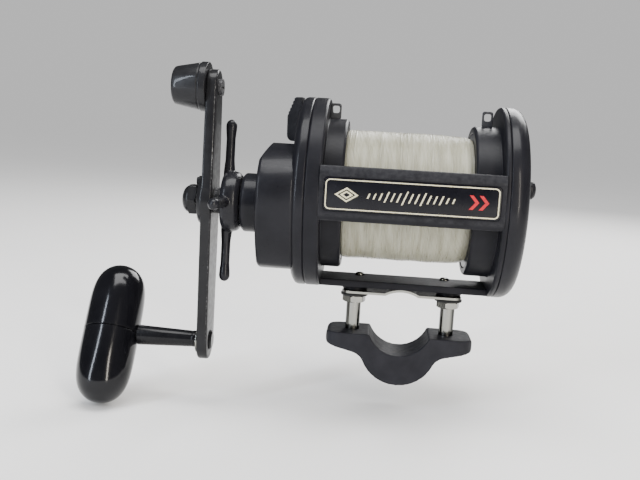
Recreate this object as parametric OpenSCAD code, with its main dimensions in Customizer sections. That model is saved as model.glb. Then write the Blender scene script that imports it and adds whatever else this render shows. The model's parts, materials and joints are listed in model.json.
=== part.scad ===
// Trolling reel with star drag, clamped under a rod by a foot strap and a saddle.
// Origin: centre of the rod under the foot. +X along the spool towards the tail plate,
// -X towards the handle, +Z up, -Y towards the name plate.

/* [Spool and side plates] */
// Diameter of both side plates
plate_d = 90; // [88:1:94]
// Distance between the inner edges of the side plates
plate_gap = 79; // [77:0.5:81]
// Height of the spool axis above the rod axis
axis_height = 60.2; // [60:0.2:62]
// Diameter of the wound line
line_d = 61.8; // [40:0.2:62]
// Width of the wound line
line_w = 58.6; // [58:0.1:59]

/* [Gears] */
// Gear module
gear_module = 0.7; // [0.7:0.005:0.71]
// Teeth on the main gear
main_teeth = 52; // [52:1:52]
// Teeth on the pinion
pinion_teeth = 13; // [13:1:13]
// Height of the crank shaft below the spool axis
shaft_drop = 5; // [3:0.5:7]

/* [Handle] */
// Distance from the crank shaft to the grip stem
crank_r = 66.5; // [60:0.5:70]
// Distance from the crank shaft to the counterweight
counter_r = 51.5; // [44:0.5:54]
// Length of the grip
grip_l = 68; // [58:1:72]
// Diameter of the grip
grip_d = 26; // [22:0.5:27]
// Tilt of the grip about its stem at rest
grip_tilt = 33; // [0:1:60]

/* [Star drag] */
// Number of star spokes
star_spokes = 4; // [3:1:6]
// Radius of the star over its spoke tips
star_r = 37.6; // [30:0.2:40]

/* [Rod clamp] */
// Diameter of the rod that the clamp holds
rod_d = 30.8; // [30:0.1:31]
// Distance from the middle to each clamp stud
stud_x = 22.9; // [22.5:0.1:24]
// Width of the clamp along the rod
clamp_w = 24; // [20:1:26]

/* [Hidden] */
$fn = 96;

black = [0.05, 0.05, 0.055];
matte_black = [0.09, 0.09, 0.1];
chrome = [0.8, 0.8, 0.82];
steel = [0.6, 0.6, 0.62];
bronze = [0.62, 0.47, 0.25];

over = 0.5;
slip = 0.05;
wall = 2.3;

plate_r = plate_d / 2;
rim_x = plate_gap / 2;
line_mid = -1.2;
line_left = line_mid - line_w / 2;
line_right = line_mid + line_w / 2;
shoulder_gap = 0.2;
shoulder_r = 35.5;
flange_bore = 32;
cup_r = plate_r - wall;
seam_x = -rim_x - 7;
bridge_x = -rim_x - 2;
bridge_t = 2;
face_x = seam_x - 6.5;
tail_seam_x = rim_x + 2.5;
tail_face_x = tail_seam_x + 9.7;

spool_flange_r = 31.6;
spool_flange_t = 2.2;
spool_left = line_left - 0.1 - spool_flange_t;
spool_right = line_right + 0.1 + spool_flange_t;
arbor_r = 13;
spool_shaft_r = 3;
bearing_r = 7.5;
bearing_w = 5;

gear_dist = gear_module * (main_teeth + pinion_teeth) / 2;
shaft_y = -sqrt(gear_dist * gear_dist - shaft_drop * shaft_drop);
mesh_angle = atan2(shaft_drop, -shaft_y);
pressure_angle = 25;
shaft_r = 3.5;
sleeve_r = 5;
bush_r = 6.5;

case_y = -19;
case_z = -6;
case_r = 29;
case_x = face_x - 14.8;
boss_x = face_x - 23.2;
case_slope = 28.4;
case_slope_z = 15.5;
boss_r = 13.5;

star_x = boss_x - 0.6;
star_t = 8;
star_phase = -3;
arm_x = star_x - star_t - 4.5;
arm_t = 4.9;
arm_out = arm_x - arm_t;
hub_out = arm_out - 2;
arm_hub_r = 12;
counter_end_r = 8;
stem_end_r = 8.9;
stem_end_x = arm_out - 54.3;
grip_x = arm_out - 42.8;

screw_angles_handle = [28, 62, 112, -20, -60, -100];
screw_angles_tail = [30, 90, 120, 210, 270, 330];
post_r_handle = 39;
post_r_tail = 35;

lever_y = 13;
lever_z = 10;
lever_throw = 30;

click_y = -16;
click_z = 8;
click_angle = atan2(click_z, click_y);
click_r = norm([click_y, click_z]);
click_travel = 2.8;
click_teeth = 12;

dog_ratchet_teeth = 12;
dog_lift = 10;
dog_pivot_r = 15;
dog_side = -90;

rod_r = rod_d / 2;
ear_top = -5.8;
ear_tip = -12.4;
ear_slope = 13;
clamp_half = 35.4;
belly_r = 18.5;
belly_z = -11.5;
strap_bottom = 13.3;
strap_t = 1.15;
strap_w = 20;
base_bottom = axis_height - 43.6;
base_top = axis_height - 40.3;

// Places its children with the spool axis as the X axis.
module on_spool() { translate([0, 0, axis_height]) children(); }

// Places its children with the crank shaft as the X axis.
module on_shaft() { translate([0, shaft_y, axis_height - shaft_drop]) children(); }

// Solid of revolution about X from points [x, radius].
module turned(points) {
  rotate([0, 90, 0]) rotate_extrude() polygon([for (p = points) [p[1], p[0]]]);
}

// Rod along X between two stations.
module rod_x(x0, x1, r) {
  translate([min(x0, x1), 0, 0]) rotate([0, 90, 0]) cylinder(r = r, h = abs(x1 - x0));
}

// Tube along X between two stations.
module tube_x(x0, x1, outer, inner) {
  difference() {
    rod_x(x0, x1, outer);
    rod_x(min(x0, x1) - over, max(x0, x1) + over, inner);
  }
}

// Extrudes a drawing of the Y-Z plane along X.
module prism_x(x0, x1) {
  translate([min(x0, x1), 0, 0]) rotate([90, 0, 90]) linear_extrude(abs(x1 - x0)) children();
}

// Extrudes a drawing of the X-Z plane along Y, centred.
module prism_y(w) {
  translate([0, w / 2, 0]) rotate([90, 0, 0]) linear_extrude(w) children();
}

// Arc points about a centre, from angle a0 to a1.
function arc(centre, r, a0, a1, steps = 8) =
  [for (i = [0:steps]) let (a = a0 + (a1 - a0) * i / steps) centre + r * [cos(a), sin(a)]];

// Flat bar with round ends between two points. Its sides sit just inside the ends' tangents.
module bar(p, q, w) {
  d = q - p;
  side = 0.99 * w;
  translate(p) circle(d = w);
  translate(q) circle(d = w);
  translate(p) rotate(atan2(d[1], d[0])) translate([0, -side / 2]) square([norm(d), side]);
}

// Outline of two circles joined by their common tangents, the second one along +Y.
module tapered_bar(r0, r1, d) {
  s = (r0 - r1) / d;
  c = sqrt(1 - s * s);
  circle(r = r0);
  translate([0, d]) circle(r = r1);
  polygon([[-r0 * c, r0 * s], [r0 * c, r0 * s], [r1 * c, d + r1 * s], [-r1 * c, d + r1 * s]]);
}

// Rectangle with round corners, centred.
module round_rect(w, h, r) {
  square([w - 2 * r, h], center = true);
  square([w, h - 2 * r], center = true);
  for (sx = [-1, 1], sy = [-1, 1])
    translate([sx * (w / 2 - r), sy * (h / 2 - r)]) circle(r = r);
}

// Involute gear outline with a tooth centred on the first axis.
function involute(a) = tan(a) - a * PI / 180;
function half_tooth(teeth, r) =
  let (base = gear_module * teeth / 2 * cos(pressure_angle),
       here = r > base ? acos(base / r) : 0)
  88.6 / teeth + (involute(pressure_angle) - involute(here)) * 180 / PI;
function polar(r, a) = r * [cos(a), sin(a)];
function gear_outline(teeth, steps) =
  let (pitch = gear_module * teeth / 2,
       root = pitch - 1.3 * gear_module,
       tip = pitch + 0.95 * gear_module,
       start = max(root + 0.15, pitch * cos(pressure_angle)),
       radii = concat([root], [for (i = [0:steps]) start + (tip - start) * i / steps]),
       last = len(radii) - 1)
  [for (t = [0:teeth - 1]) let (a = 360 * t / teeth)
    each concat([for (i = [0:last]) polar(radii[i], a - half_tooth(teeth, radii[i]))],
                [for (i = [last:-1:0]) polar(radii[i], a + half_tooth(teeth, radii[i]))])];

// Screw along X with its head towards -X when side is -1.
module screw_x(x_head, x_end, head_r, shank_r) {
  side = x_head < x_end ? -1 : 1;
  difference() {
    union() {
      rod_x(x_head, x_head - side * 1.6, head_r);
      rod_x(x_head, x_end, shank_r);
    }
    translate([x_head, 0, 0]) rotate([45, 0, 0]) cube([1.4, 2 * head_r - 1.4, 0.7], center = true);
    translate([x_head, 0, 0]) rotate([-45, 0, 0]) cube([1.4, 2 * head_r - 1.4, 0.7], center = true);
  }
}

module around(angles, r) {
  for (a = angles) translate([0, r * cos(a), r * sin(a)]) children();
}

// ---------------------------------------------------------------- frame

front_bar = [[-41, -8.6], [-43.4, -8.6], [-45, -6], [-45, 12.2], [-43.2, 15.4], [-41, 15.4]];
rear_bar = [[41, -7], [43.2, -7], [44.2, -5], [44.2, 5], [43.2, 7], [41, 7]];
plate_mid_z = 3.25;

module frame() {
  color(black) on_spool() difference() {
    union() {
      tube_x(line_left + shoulder_gap, -rim_x - 1, shoulder_r, flange_bore);
      tube_x(line_right - shoulder_gap, rim_x + 1, shoulder_r, flange_bore);
      difference() {
        rod_x(-rim_x, seam_x, plate_r);
        rod_x(bridge_x, seam_x - over, cup_r);
      }
      around(screw_angles_handle, post_r_handle) rod_x(bridge_x + over, seam_x, 3.9);
      rod_x(rim_x, tail_seam_x, plate_r);
      prism_x(-rim_x - 1, rim_x + 1) polygon(front_bar);
      prism_x(-rim_x - 1, rim_x + 1) polygon(rear_bar);
      translate([0, 0, (base_top + base_bottom) / 2 - axis_height])
        cube([plate_gap + 2, 22, base_top - base_bottom], center = true);
      for (s = [-1, 1])
        translate([s * stud_x, 0, strap_bottom + strap_t - axis_height])
          cylinder(r = 6, h = base_bottom - strap_bottom - strap_t + 1);
    }
    rod_x(-rim_x - 2 - over, line_left + shoulder_gap + over, flange_bore);
    rod_x(line_right - shoulder_gap - over, tail_seam_x + over, flange_bore);
    around(screw_angles_handle, post_r_handle) rod_x(-rim_x - 0.4, seam_x - over, 1.4);
    around(screw_angles_tail, post_r_tail) rod_x(rim_x + 0.4, tail_seam_x + over, 1.2);
    around([0, 120, 240], 33.4) rod_x(-rim_x - 0.4, bridge_x - over, 0.9);
    translate([0, -plate_r, plate_mid_z]) cube([76.2, 1.4, 14.8], center = true);
    for (s = [-1, 1]) translate([s * stud_x, 0, -50]) cylinder(r = 2.5, h = 8.3);
    for (s = [-1, 1]) translate([s * foot_screw_x, foot_screw_y, -50]) cylinder(r = 1.2, h = 20);
    for (x = [lug_left_x, lug_right_x])
      translate([x, 0, shoulder_r - 1.5]) cylinder(r = 1, h = 3);
  }
}

module name_plate() {
  color(matte_black) on_spool() translate([0, -plate_r + 0.35, plate_mid_z])
    prism_y(0.6) round_rect(76, 14.6, 2);
}

module name_plate_border() {
  color([0.85, 0.82, 0.7]) on_spool() translate([0, -plate_r - 0.02, plate_mid_z])
    prism_y(0.14) difference() {
      round_rect(75, 13.5, 2);
      round_rect(74, 12.5, 1.5);
    }
}

// Squared harness lug standing on a shoulder, held by a peg.
lug_w = 5;
lug_top = 42.8;
lug_base = shoulder_r + 0.02;
lug_hole_z = 39.9;
lug_left_x = -36.95;
lug_right_x = 34.6;
module harness_lug(x) {
  color(black) on_spool() translate([x, 0, 0]) {
    translate([0, 0, shoulder_r - 1.4]) cylinder(r = 0.95, h = 2.2);
    prism_y(1.8) difference() {
      translate([0, (lug_top + lug_base) / 2]) round_rect(lug_w, lug_top - lug_base, 1.2);
      translate([0, lug_hole_z]) circle(r = 1.5);
    }
  }
}
module harness_lug_left() { harness_lug(lug_left_x); }
module harness_lug_right() { harness_lug(lug_right_x); }

// ---------------------------------------------------------------- handle side

module case_outline(r, trim) {
  intersection() {
    translate([case_y, case_z]) circle(r = r);
    circle(r = trim);
  }
}

// Block that takes the case's upper outer corner off on a slant.
module case_slope_cut() {
  translate([case_x, 0, case_slope_z]) rotate([0, -case_slope, 0]) translate([-20, -60, 0])
    cube([20, 120, 40]);
}

module handle_side_plate() {
  color(black) on_spool() difference() {
    union() {
      turned(concat([[seam_x, 0], [seam_x, plate_r]],
                    arc([face_x + 3, plate_r - 3], 3, 90, 180), [[face_x, 0]]));
      difference() {
        prism_x(face_x + 1, case_x + 1.2) case_outline(case_r, plate_r + 0.4);
        case_slope_cut();
      }
      difference() {
        prism_x(face_x + 1, case_x) case_outline(case_r - 1.2, plate_r - 0.8);
        case_slope_cut();
      }
      translate([0, shaft_y, -shaft_drop]) turned([[case_x + 1, 0], [case_x + 1, boss_r],
        [boss_x + 1, boss_r], [boss_x, boss_r - 1], [boss_x, 0]]);
    }
    difference() {
      rod_x(seam_x + over, face_x + wall - 0.1, cup_r);
      around(screw_angles_handle, post_r_handle) rod_x(seam_x, face_x, 3.9);
    }
    prism_x(face_x + wall, case_x + 7) case_outline(case_r - 2.2, plate_r - 2);
    translate([0, shaft_y, -shaft_drop]) rod_x(case_x + 8, case_x + 2.2, 16.5);
    translate([0, shaft_y, -shaft_drop]) rod_x(case_x + 3, boss_x - over, bush_r);
    around(screw_angles_handle, post_r_handle) rod_x(seam_x + over, face_x - over, 1.4);
    around(screw_angles_handle, post_r_handle) rod_x(face_x + 1.8, face_x - over, 2.6);
    translate([0, lever_y, lever_z]) rod_x(face_x + 3, face_x - over, 3 + slip);
  }
}

module handle_plate_screws() {
  color(steel) on_spool() around(screw_angles_handle, post_r_handle)
    screw_x(face_x + 0.2, -rim_x - 0.6, 2.5, 1.35);
}

module gear_bridge() {
  color(steel) on_spool() difference() {
    union() {
      rod_x(bridge_x, bridge_x - bridge_t, 34.6);
      rod_x(bridge_x, bridge_x + 4.2, bearing_r + 2);
      translate([0, shaft_y, -shaft_drop]) rod_x(bridge_x, bridge_x + 4, 6);
      for (p = yoke_posts) translate([0, p[0], p[1]]) rod_x(bridge_x, bridge_x - bridge_t - 7, 1.5);
    }
    rod_x(bridge_x + 5, bridge_x - 0.8, bearing_r);
    rod_x(bridge_x + 5, bridge_x - 3, 5);
    translate([0, shaft_y, -shaft_drop]) rod_x(bridge_x + 3, bridge_x - 3, shaft_r + slip);
    around([0, 120, 240], 33.4) rod_x(bridge_x + 1, bridge_x - 3, 1);
    translate([0, lever_y, lever_z]) rod_x(bridge_x + 1, bridge_x - 3, 2 + slip);
    on_dog() rod_x(bridge_x + 1, bridge_x - 3, 1);
    around([20, 75, 130, 285, 330], 26) rod_x(bridge_x + 1, bridge_x - 3, 3.5);
  }
}

module bridge_screws() {
  color(steel) on_spool() around([0, 120, 240], 33.4)
    screw_x(bridge_x - bridge_t - 1.6, -rim_x - 0.6, 1.6, 0.85);
}

module handle_side_bearing() {
  color(steel) on_spool() tube_x(bridge_x - 0.8, bridge_x + 4.2, bearing_r,
    spool_shaft_r + slip);
}

module shaft_bush() {
  color(bronze) on_shaft() {
    tube_x(case_x + 2.4, boss_x + 0.3, bush_r, sleeve_r + slip);
  }
}

// Places its children at the anti-reverse dog's pivot.
module on_dog() {
  translate([0, shaft_y + dog_pivot_r * cos(dog_side), -shaft_drop + dog_pivot_r * sin(dog_side)])
    children();
}

dog_x = bridge_x - bridge_t - 0.6;
dog_t = 1.6;
dog_reach = polar(8.5, dog_side + 62) - polar(dog_pivot_r, dog_side);
dog_knee = polar(12.3, dog_side + 60) - polar(dog_pivot_r, dog_side);

module anti_reverse_dog() {
  color(steel) on_spool() on_dog() prism_x(dog_x, dog_x - dog_t) rotate(-dog_lift)
    difference() {
      union() {
        circle(r = 2.6);
        bar([0, 0], dog_knee, 2);
        bar(dog_knee, dog_reach, 1.3);
      }
      circle(r = 1.3 + slip);
    }
}

module dog_pivot() {
  color(steel) on_spool() on_dog() {
    rod_x(bridge_x, dog_x, 1);
    rod_x(bridge_x - bridge_t, dog_x, 2.2);
    rod_x(dog_x, dog_x - dog_t - 0.3, 1.3);
    rod_x(dog_x - dog_t - 0.2, dog_x - dog_t - 0.8, 2);
  }
}

module dog_spring() {
  color(steel) on_spool() on_dog() prism_x(bridge_x - bridge_t, dog_x - dog_t)
    rotate(dog_side) {
      bar([4, 0], [4, 5], 0.6);
      bar([4, 5], [5.2, 6.4], 0.6);
    }
}

// ---------------------------------------------------------------- clutch

lever_lean = 19;
module freespool_lever() {
  color(black) on_spool() translate([0, lever_y, lever_z]) difference() {
    union() {
      rod_x(face_x - 0.3, face_x - 4.2, 6);
      prism_x(face_x - 0.3, face_x - 3) rotate(lever_lean) tapered_bar(5.6, 5, 24);
      thumb_pad();
    }
    rod_x(face_x, face_x - 3.4, 2 + 0.02);
  }
}

// Thumb pad, sloped towards the rim and ridged across.
module thumb_pad() {
  pad = [[face_x - 0.3, 13.5], [face_x - 5.4, 13.8], [face_x - 6.8, 15.6], [face_x - 7, 26],
         [face_x - 3.9, 34.2], [face_x - 3.2, 34.8], [face_x - 0.3, 34.8]];
  translate([0, -9, 0]) difference() {
    prism_y(14) polygon(pad);
    for (i = [0:4]) translate([face_x - 6.9 + i * 0.62, 0, 26.6 + i * 1.65]) rotate([90, 0, 0])
      cylinder(r = 0.45, h = 20, center = true);
  }
}

module lever_shaft() {
  color(steel) on_spool() translate([0, lever_y, lever_z]) {
    rod_x(face_x - 3.4, face_x - 0.3, 2);
    rod_x(face_x - 0.3, bridge_x - bridge_t - 6, 3);
    rod_x(bridge_x - 0.2, bridge_x - bridge_t - 6, 2);
  }
}

cam_x = bridge_x - bridge_t - 0.3;
clutch_throw = 2.5;
yoke_x = bridge_x - bridge_t - 1.9;
yoke_t = 1.2;

yoke_posts = [[-4, 15.5], [2, -14.5]];
tab = [5.5, 12.7];
tab_r = 8;
ramp_angle = atan2(tab[1] - lever_z, tab[0] - lever_y) + lever_throw / 2;

// Cam disc with a ramp that lifts the yoke's finger.
module clutch_cam() {
  color(steel) on_spool() translate([0, lever_y, lever_z]) rotate([ramp_angle, 0, 0]) {
    tube_x(cam_x, cam_x - 1, 4.6, 2.01);
    translate([cam_x - 0.5, tab_r - 0.6, 0.2]) cube([1, 9.6, 5.8], center = true);
    translate([0, tab_r, 0]) prism_y(2.4)
      polygon([[cam_x - 0.3, -2.4], [cam_x - 0.3, 3], [cam_x - 1 - clutch_throw, 3],
               [cam_x - 1 - clutch_throw, 2.5], [cam_x - 1, -2]]);
  }
}

module clutch_yoke() {
  color(bronze) on_spool() prism_x(yoke_x, yoke_x - yoke_t) difference() {
    union() {
      circle(r = 7.8);
      bar(yoke_posts[0], [-1.5, 5.5], 5);
      bar(yoke_posts[1], [1, -5.5], 5);
      bar(yoke_posts[0] + [2, -0.6], tab, 1.6);
    }
    circle(r = 4.4);
    translate([-12, -4.3]) square([12, 8.6]);
    for (p = yoke_posts) translate(p) circle(r = 1.5 + slip);
  }
}

// ---------------------------------------------------------------- tail side

module tail_side_plate() {
  color(black) on_spool() difference() {
    union() {
      turned(concat([[tail_seam_x, 0], [tail_seam_x, plate_r]],
                    arc([tail_seam_x + 2.6, plate_r - 6.3], 6.3, 90, 10),
                    [[tail_face_x - 0.6, 30], [tail_face_x, 12], [tail_face_x, 0]]));
      rod_x(tail_seam_x - 4.8, tail_face_x, bearing_r + 1.5);
    }
    difference() {
      turned(concat([[tail_seam_x - 1, 0], [tail_seam_x - 1, cup_r]],
                    arc([tail_seam_x + 2.6, plate_r - 7.4], 5, 90, 10),
                    [[tail_face_x - 2.9, 28], [tail_face_x - 2.3, 12], [tail_face_x - 2.3, 0]]));
      rod_x(tail_seam_x - 6, tail_face_x, bearing_r + 1.5);
      around(screw_angles_tail, post_r_tail) rod_x(tail_seam_x, tail_face_x, 3);
    }
    rod_x(tail_seam_x - 6, tail_face_x, 6.2);
    rod_x(tail_seam_x - 4, tail_face_x + over, bearing_r);
    around(screw_angles_tail, post_r_tail) rod_x(tail_seam_x - over, tail_face_x + over, 1.2);
    around(screw_angles_tail, post_r_tail) rod_x(tail_face_x - 2.6, tail_face_x + over, 2.3);
    prism_x(tail_face_x - 5, tail_face_x + 1) rotate(click_angle)
      bar([click_r, 0], [click_r - click_travel, 0], 3.6);
  }
}

module tail_plate_screws() {
  color(steel) on_spool() around(screw_angles_tail, post_r_tail)
    screw_x(tail_face_x - 1, rim_x + 0.5, 2.2, 1.15);
}

module tail_side_bearing() {
  color(steel) on_spool() tube_x(tail_seam_x - 4, tail_seam_x + 1, bearing_r,
    spool_shaft_r + slip);
}

module bearing_cap() {
  color(black) on_spool() difference() {
    union() {
      rod_x(tail_seam_x + 1.6, tail_face_x + 0.5, bearing_r - slip);
      turned([[tail_face_x + 0.3, 0], [tail_face_x + 0.3, 9.4], [tail_face_x + 2.7, 9.4],
              [tail_face_x + 3.5, 8.6], [tail_face_x + 3.5, 0]]);
    }
    for (i = [0:17]) rotate([i * 20, 0, 0]) translate([0, 9.9, 0])
      rod_x(tail_face_x, tail_face_x + 5, 0.9);
    translate([tail_face_x + 3.7, 0, 0]) cube([2, 13, 1.8], center = true);
    rod_x(tail_seam_x, tail_seam_x + 4.5, 4);
  }
}

module click_button() {
  color(black) on_spool() translate([0, click_y, click_z]) difference() {
    turned([[tail_face_x + 0.4, 0], [tail_face_x + 0.4, 4.5], [tail_face_x + 4.2, 4.1],
            [tail_face_x + 5.4, 3.1], [tail_face_x + 5.6, 0]]);
    rod_x(tail_face_x, tail_face_x + 3, 1.2);
    for (i = [-1:1]) rotate([click_angle, 0, 0]) translate([tail_face_x + 6, 2 * i, 0])
      rotate([0, 0, 45]) cube([1.3, 1.3, 12], center = true);
  }
}

module click_pawl() {
  color(steel) on_spool() {
    prism_x(ratchet_x, ratchet_x + 2) rotate(click_angle)
      polygon([[11, 0], [12.6, -1.2], [17, -2.2], [click_r + 2, -2.2], [click_r + 2, 2.2],
               [17, 2.2], [12.6, 1.2]]);
    translate([0, click_y, click_z]) {
      rod_x(ratchet_x + 1.9, tail_face_x - 0.2, 1.6);
      rod_x(ratchet_x + 1.9, tail_face_x + 3, 1.2);
    }
  }
}

module click_spring() {
  post_end = tail_face_x - 2.72;
  color(steel) on_spool() rotate([click_angle, 0, 0]) translate([0, click_r + 2.6, 0]) {
    translate([tail_seam_x + 2, 0, 0]) cube([4, 0.4, 15], center = true);
    for (s = [-1, 1]) translate([(tail_seam_x + post_end) / 2, 0, s * 7.3])
      cube([post_end - tail_seam_x, 1.6, 1.4], center = true);
  }
}

// ---------------------------------------------------------------- spool

ratchet_x = spool_right + 2.2;

module spool() {
  inner_left = line_left - 0.1;
  inner_right = line_right + 0.1;
  hub_left = spool_left - 2.5;
  color(steel) on_spool() turned([[hub_left, spool_shaft_r], [hub_left, 5], [spool_left, 6.5],
    [spool_left, spool_flange_r], [inner_left, spool_flange_r], [inner_left, arbor_r],
    [inner_right, arbor_r], [inner_right, spool_flange_r], [spool_right, spool_flange_r],
    [spool_right, 6.5], [ratchet_x, 5.5], [ratchet_x + 2.4, 5.5],
    [ratchet_x + 2.4, spool_shaft_r]]);
}

module line() {
  left = line_left - 0.05;
  right = line_right + 0.05;
  outer = line_d / 2;
  color([0.75, 0.77, 0.68]) on_spool() turned([[left, arbor_r + 0.02], [left, outer - 0.6],
    [left + 0.8, outer], [right - 2, outer], [right, outer - 1.6], [right, arbor_r + 0.02]]);
}

module spool_shaft() {
  color(chrome) on_spool() {
    rod_x(-60, tail_seam_x + 1.4, spool_shaft_r);
    translate([pinion_x - 1.2, 0, 0]) cylinder(r = 1, h = 8, center = true);
  }
}

module click_ratchet() {
  color(steel) on_spool() prism_x(ratchet_x, ratchet_x + 2) difference() {
    polygon([for (i = [0:click_teeth - 1]) let (a = click_angle + 360 * i / click_teeth)
      each [polar(7.8, a), polar(9.5, a + 180 / click_teeth)]]);
    circle(r = 5.52);
  }
}

pinion_x = bridge_x - bridge_t - 0.7;
pinion_end = pinion_x - 13.4;

module pinion_gear() {
  groove = yoke_x + 0.2;
  color(bronze) on_spool() difference() {
    union() {
      turned([[pinion_x, 0], [pinion_x, 6], [groove, 6], [groove, 4.2],
              [groove - yoke_t - 0.4, 4.2], [groove - yoke_t - 0.4, 6],
              [groove - yoke_t - 1.4, 6], [groove - yoke_t - 1.4, 0]]);
      prism_x(groove - yoke_t - 1, pinion_end)
        rotate(180 + mesh_angle + 180 / pinion_teeth) polygon(gear_outline(pinion_teeth, 4));
    }
    rod_x(pinion_x + over, pinion_end - over, spool_shaft_r + slip);
    translate([pinion_x, 0, 0]) cube([4.6, 2.3, 14], center = true);
  }
}

// ---------------------------------------------------------------- crank

ratchet_in = dog_x;
gear_in = -rim_x - 11;
gear_t = 5;

module drive_shaft() {
  color(steel) on_shaft() difference() {
    union() {
      rod_x(bridge_x + 2.8, hub_out - 5.5, shaft_r);
      rod_x(ratchet_in - dog_t - 0.2, gear_in + 0.2, 6);
    }
    for (s = [-1, 1]) translate([hub_out - 2, s * (shaft_r + 1.2), 0])
      cube([12, 3.2, 9], center = true);
  }
}

module ratchet_wheel() {
  tip_angle = dog_side + 62 - 8;
  color(steel) on_shaft() prism_x(ratchet_in, ratchet_in - dog_t) difference() {
    polygon([for (i = [0:dog_ratchet_teeth - 1]) let (a = tip_angle + 360 * i / dog_ratchet_teeth)
      each [polar(9, a), polar(7.1, a + 0.5)]]);
    circle(r = shaft_r + 0.02);
  }
}

module main_gear() {
  color(bronze) on_shaft() difference() {
    prism_x(gear_in, gear_in - gear_t) rotate(mesh_angle)
      polygon(gear_outline(main_teeth, 3));
    rod_x(gear_in + over, gear_in - gear_t - over, shaft_r + 0.02);
    rod_x(gear_in - 1.6, gear_in - gear_t - over, 14.2);
  }
}

washer_pitch = 0.85;
module drag_washer(i, r) {
  x = gear_in - 1.65 - i * washer_pitch;
  tube_x(x, x - 0.8, r, shaft_r + 0.1);
}
module drag_washers_fibre() {
  color([0.3, 0.22, 0.15]) on_shaft() for (i = [0, 2, 4]) drag_washer(i, 13.8);
}
module drag_washers_metal() { color(steel) on_shaft() for (i = [1, 3, 5]) drag_washer(i, 13.4); }

pressure_x = gear_in - 1.65 - 6 * washer_pitch;
module pressure_plate() {
  color(steel) on_shaft() tube_x(pressure_x, pressure_x - 1.5, 13.6, shaft_r + 0.1);
}

module spring_washers() {
  color(steel) on_shaft() for (i = [0, 1]) {
    x = pressure_x - 1.6 - i * 1.75;
    d = i == 0 ? 1 : -1;
    a = x - (i == 0 ? 0.9 : 0);
    turned([[a, shaft_r + 0.2], [a - 0.8, shaft_r + 0.2], [a - 0.8 + d * 0.9, 8.5],
            [a + d * 0.9, 8.5]]);
  }
}

module star_nut() {
  inner = pressure_x - 5.2;
  color(steel) on_shaft() difference() {
    union() {
      rod_x(inner, star_x - star_t + 0.5, sleeve_r);
      rod_x(inner, inner - 1.2, 7.4);
    }
    rod_x(inner + over, star_x - star_t - over, shaft_r + slip);
  }
}

module star_wheel() {
  hub = 14;
  tip_r = 2.6;
  spoke_x = star_x - star_t + 2;
  color(black) on_shaft() difference() {
    union() {
      turned([[star_x, 0], [star_x, hub - 2.5], [star_x - 1.5, hub - 0.6], [star_x - 4, hub],
              [star_x - star_t + 1.2, hub], [star_x - star_t, hub - 1.4], [star_x - star_t, 0]]);
      for (i = [0:star_spokes - 1]) rotate([star_phase + i * 360 / star_spokes, 0, 0])
        translate([spoke_x, 0, 0]) {
          translate([0, 0, 8]) cylinder(r = 2.2, h = star_r - 10.6);
          translate([0, 0, star_r - tip_r]) sphere(r = tip_r);
        }
    }
    rod_x(star_x + over, star_x - star_t + 0.5, sleeve_r);
    rod_x(star_x, star_x - star_t - over, shaft_r + 0.6);
  }
}

module arm_spacer() {
  color(steel) on_shaft() tube_x(star_x - star_t - 0.3, arm_x, 6, shaft_r);
}

module handle_arm() {
  color(black) on_shaft() difference() {
    union() {
      prism_x(arm_x, arm_out) {
        tapered_bar(arm_hub_r - 1.5, counter_end_r, counter_r);
        rotate(180) tapered_bar(arm_hub_r - 1.5, stem_end_r, crank_r);
      }
      turned([[arm_x, 0], [arm_x, arm_hub_r], [arm_out, arm_hub_r], [hub_out, arm_hub_r - 1.6],
              [hub_out, 0]]);
    }
    rod_x(arm_x + over, hub_out - over, shaft_r);
    translate([0, 0, counter_r]) rod_x(arm_x + over, arm_out - over, 2);
    translate([0, 0, -crank_r]) rod_x(arm_x + over, arm_out - over, 3);
    translate([0, 0, 8.6]) rod_x(hub_out + 2.4, hub_out - over, 1);
  }
}

module counterweight() {
  color(black) on_shaft() translate([0, 0, counter_r]) difference() {
    turned([[arm_out, 0], [arm_out, 11.2], [arm_out - 3.4, 11.2], [arm_out - 3.9, 10.6],
            [arm_out - 15, 8.7], [arm_out - 16, 7.6], [arm_out - 16, 0]]);
    rod_x(arm_out + over, arm_out - 8, 2);
  }
}

module counterweight_screw() {
  color(steel) on_shaft() translate([0, 0, counter_r]) difference() {
    union() {
      rod_x(arm_x + 1.6, arm_x, 3.8);
      rod_x(arm_x + 0.1, arm_out - 7.8, 2);
    }
    translate([arm_x + 1.6, 0, 0]) cube([1.4, 6.4, 0.9], center = true);
  }
}

module handle_nut() {
  nut = hub_out - 1;
  color(black) on_shaft() difference() {
    union() {
      prism_x(nut, nut - 4) circle(r = 7.6, $fn = 6);
      turned([[nut - 3.9, 0], [nut - 3.9, 6.4], [nut - 5.5, 6], [nut - 6.8, 4.4],
              [nut - 7.3, 2], [nut - 7.4, 0]]);
    }
    rod_x(nut + over, hub_out - 5.6, shaft_r + 0.02);
  }
}

module nut_retainer() {
  color(steel) on_shaft() {
    difference() {
      prism_x(hub_out, hub_out - 0.9) bar([0, 0], [0, 8.6], 4.6);
      rod_x(hub_out + over, hub_out - 2, shaft_r + 0.02);
    }
    translate([0, 0, 8.6]) {
      rod_x(hub_out - 0.8, hub_out - 1.9, 1.7);
      rod_x(hub_out - 0.8, hub_out + 2.2, 1);
    }
  }
}

module handle_stem() {
  color(black) on_shaft() translate([0, 0, -crank_r])
    turned([[arm_x + 1.2, 0], [arm_x + 1.2, 3.6], [arm_x + 0.6, 4.6], [arm_x, 4.6], [arm_x, 3],
            [arm_out - 1.2, 3], [arm_out - 1.2, 3.8], [arm_out - 29.4, 4.75],
            [arm_out - 29.4, 3], [stem_end_x + 1.6, 3], [stem_end_x + 1.6, 4.6],
            [stem_end_x, 4.6], [stem_end_x, 0]]);
}

module stem_washer() {
  color(chrome) on_shaft() translate([0, 0, -crank_r])
    tube_x(arm_out, arm_out - 1.15, 6.2, 3.02);
}

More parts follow.
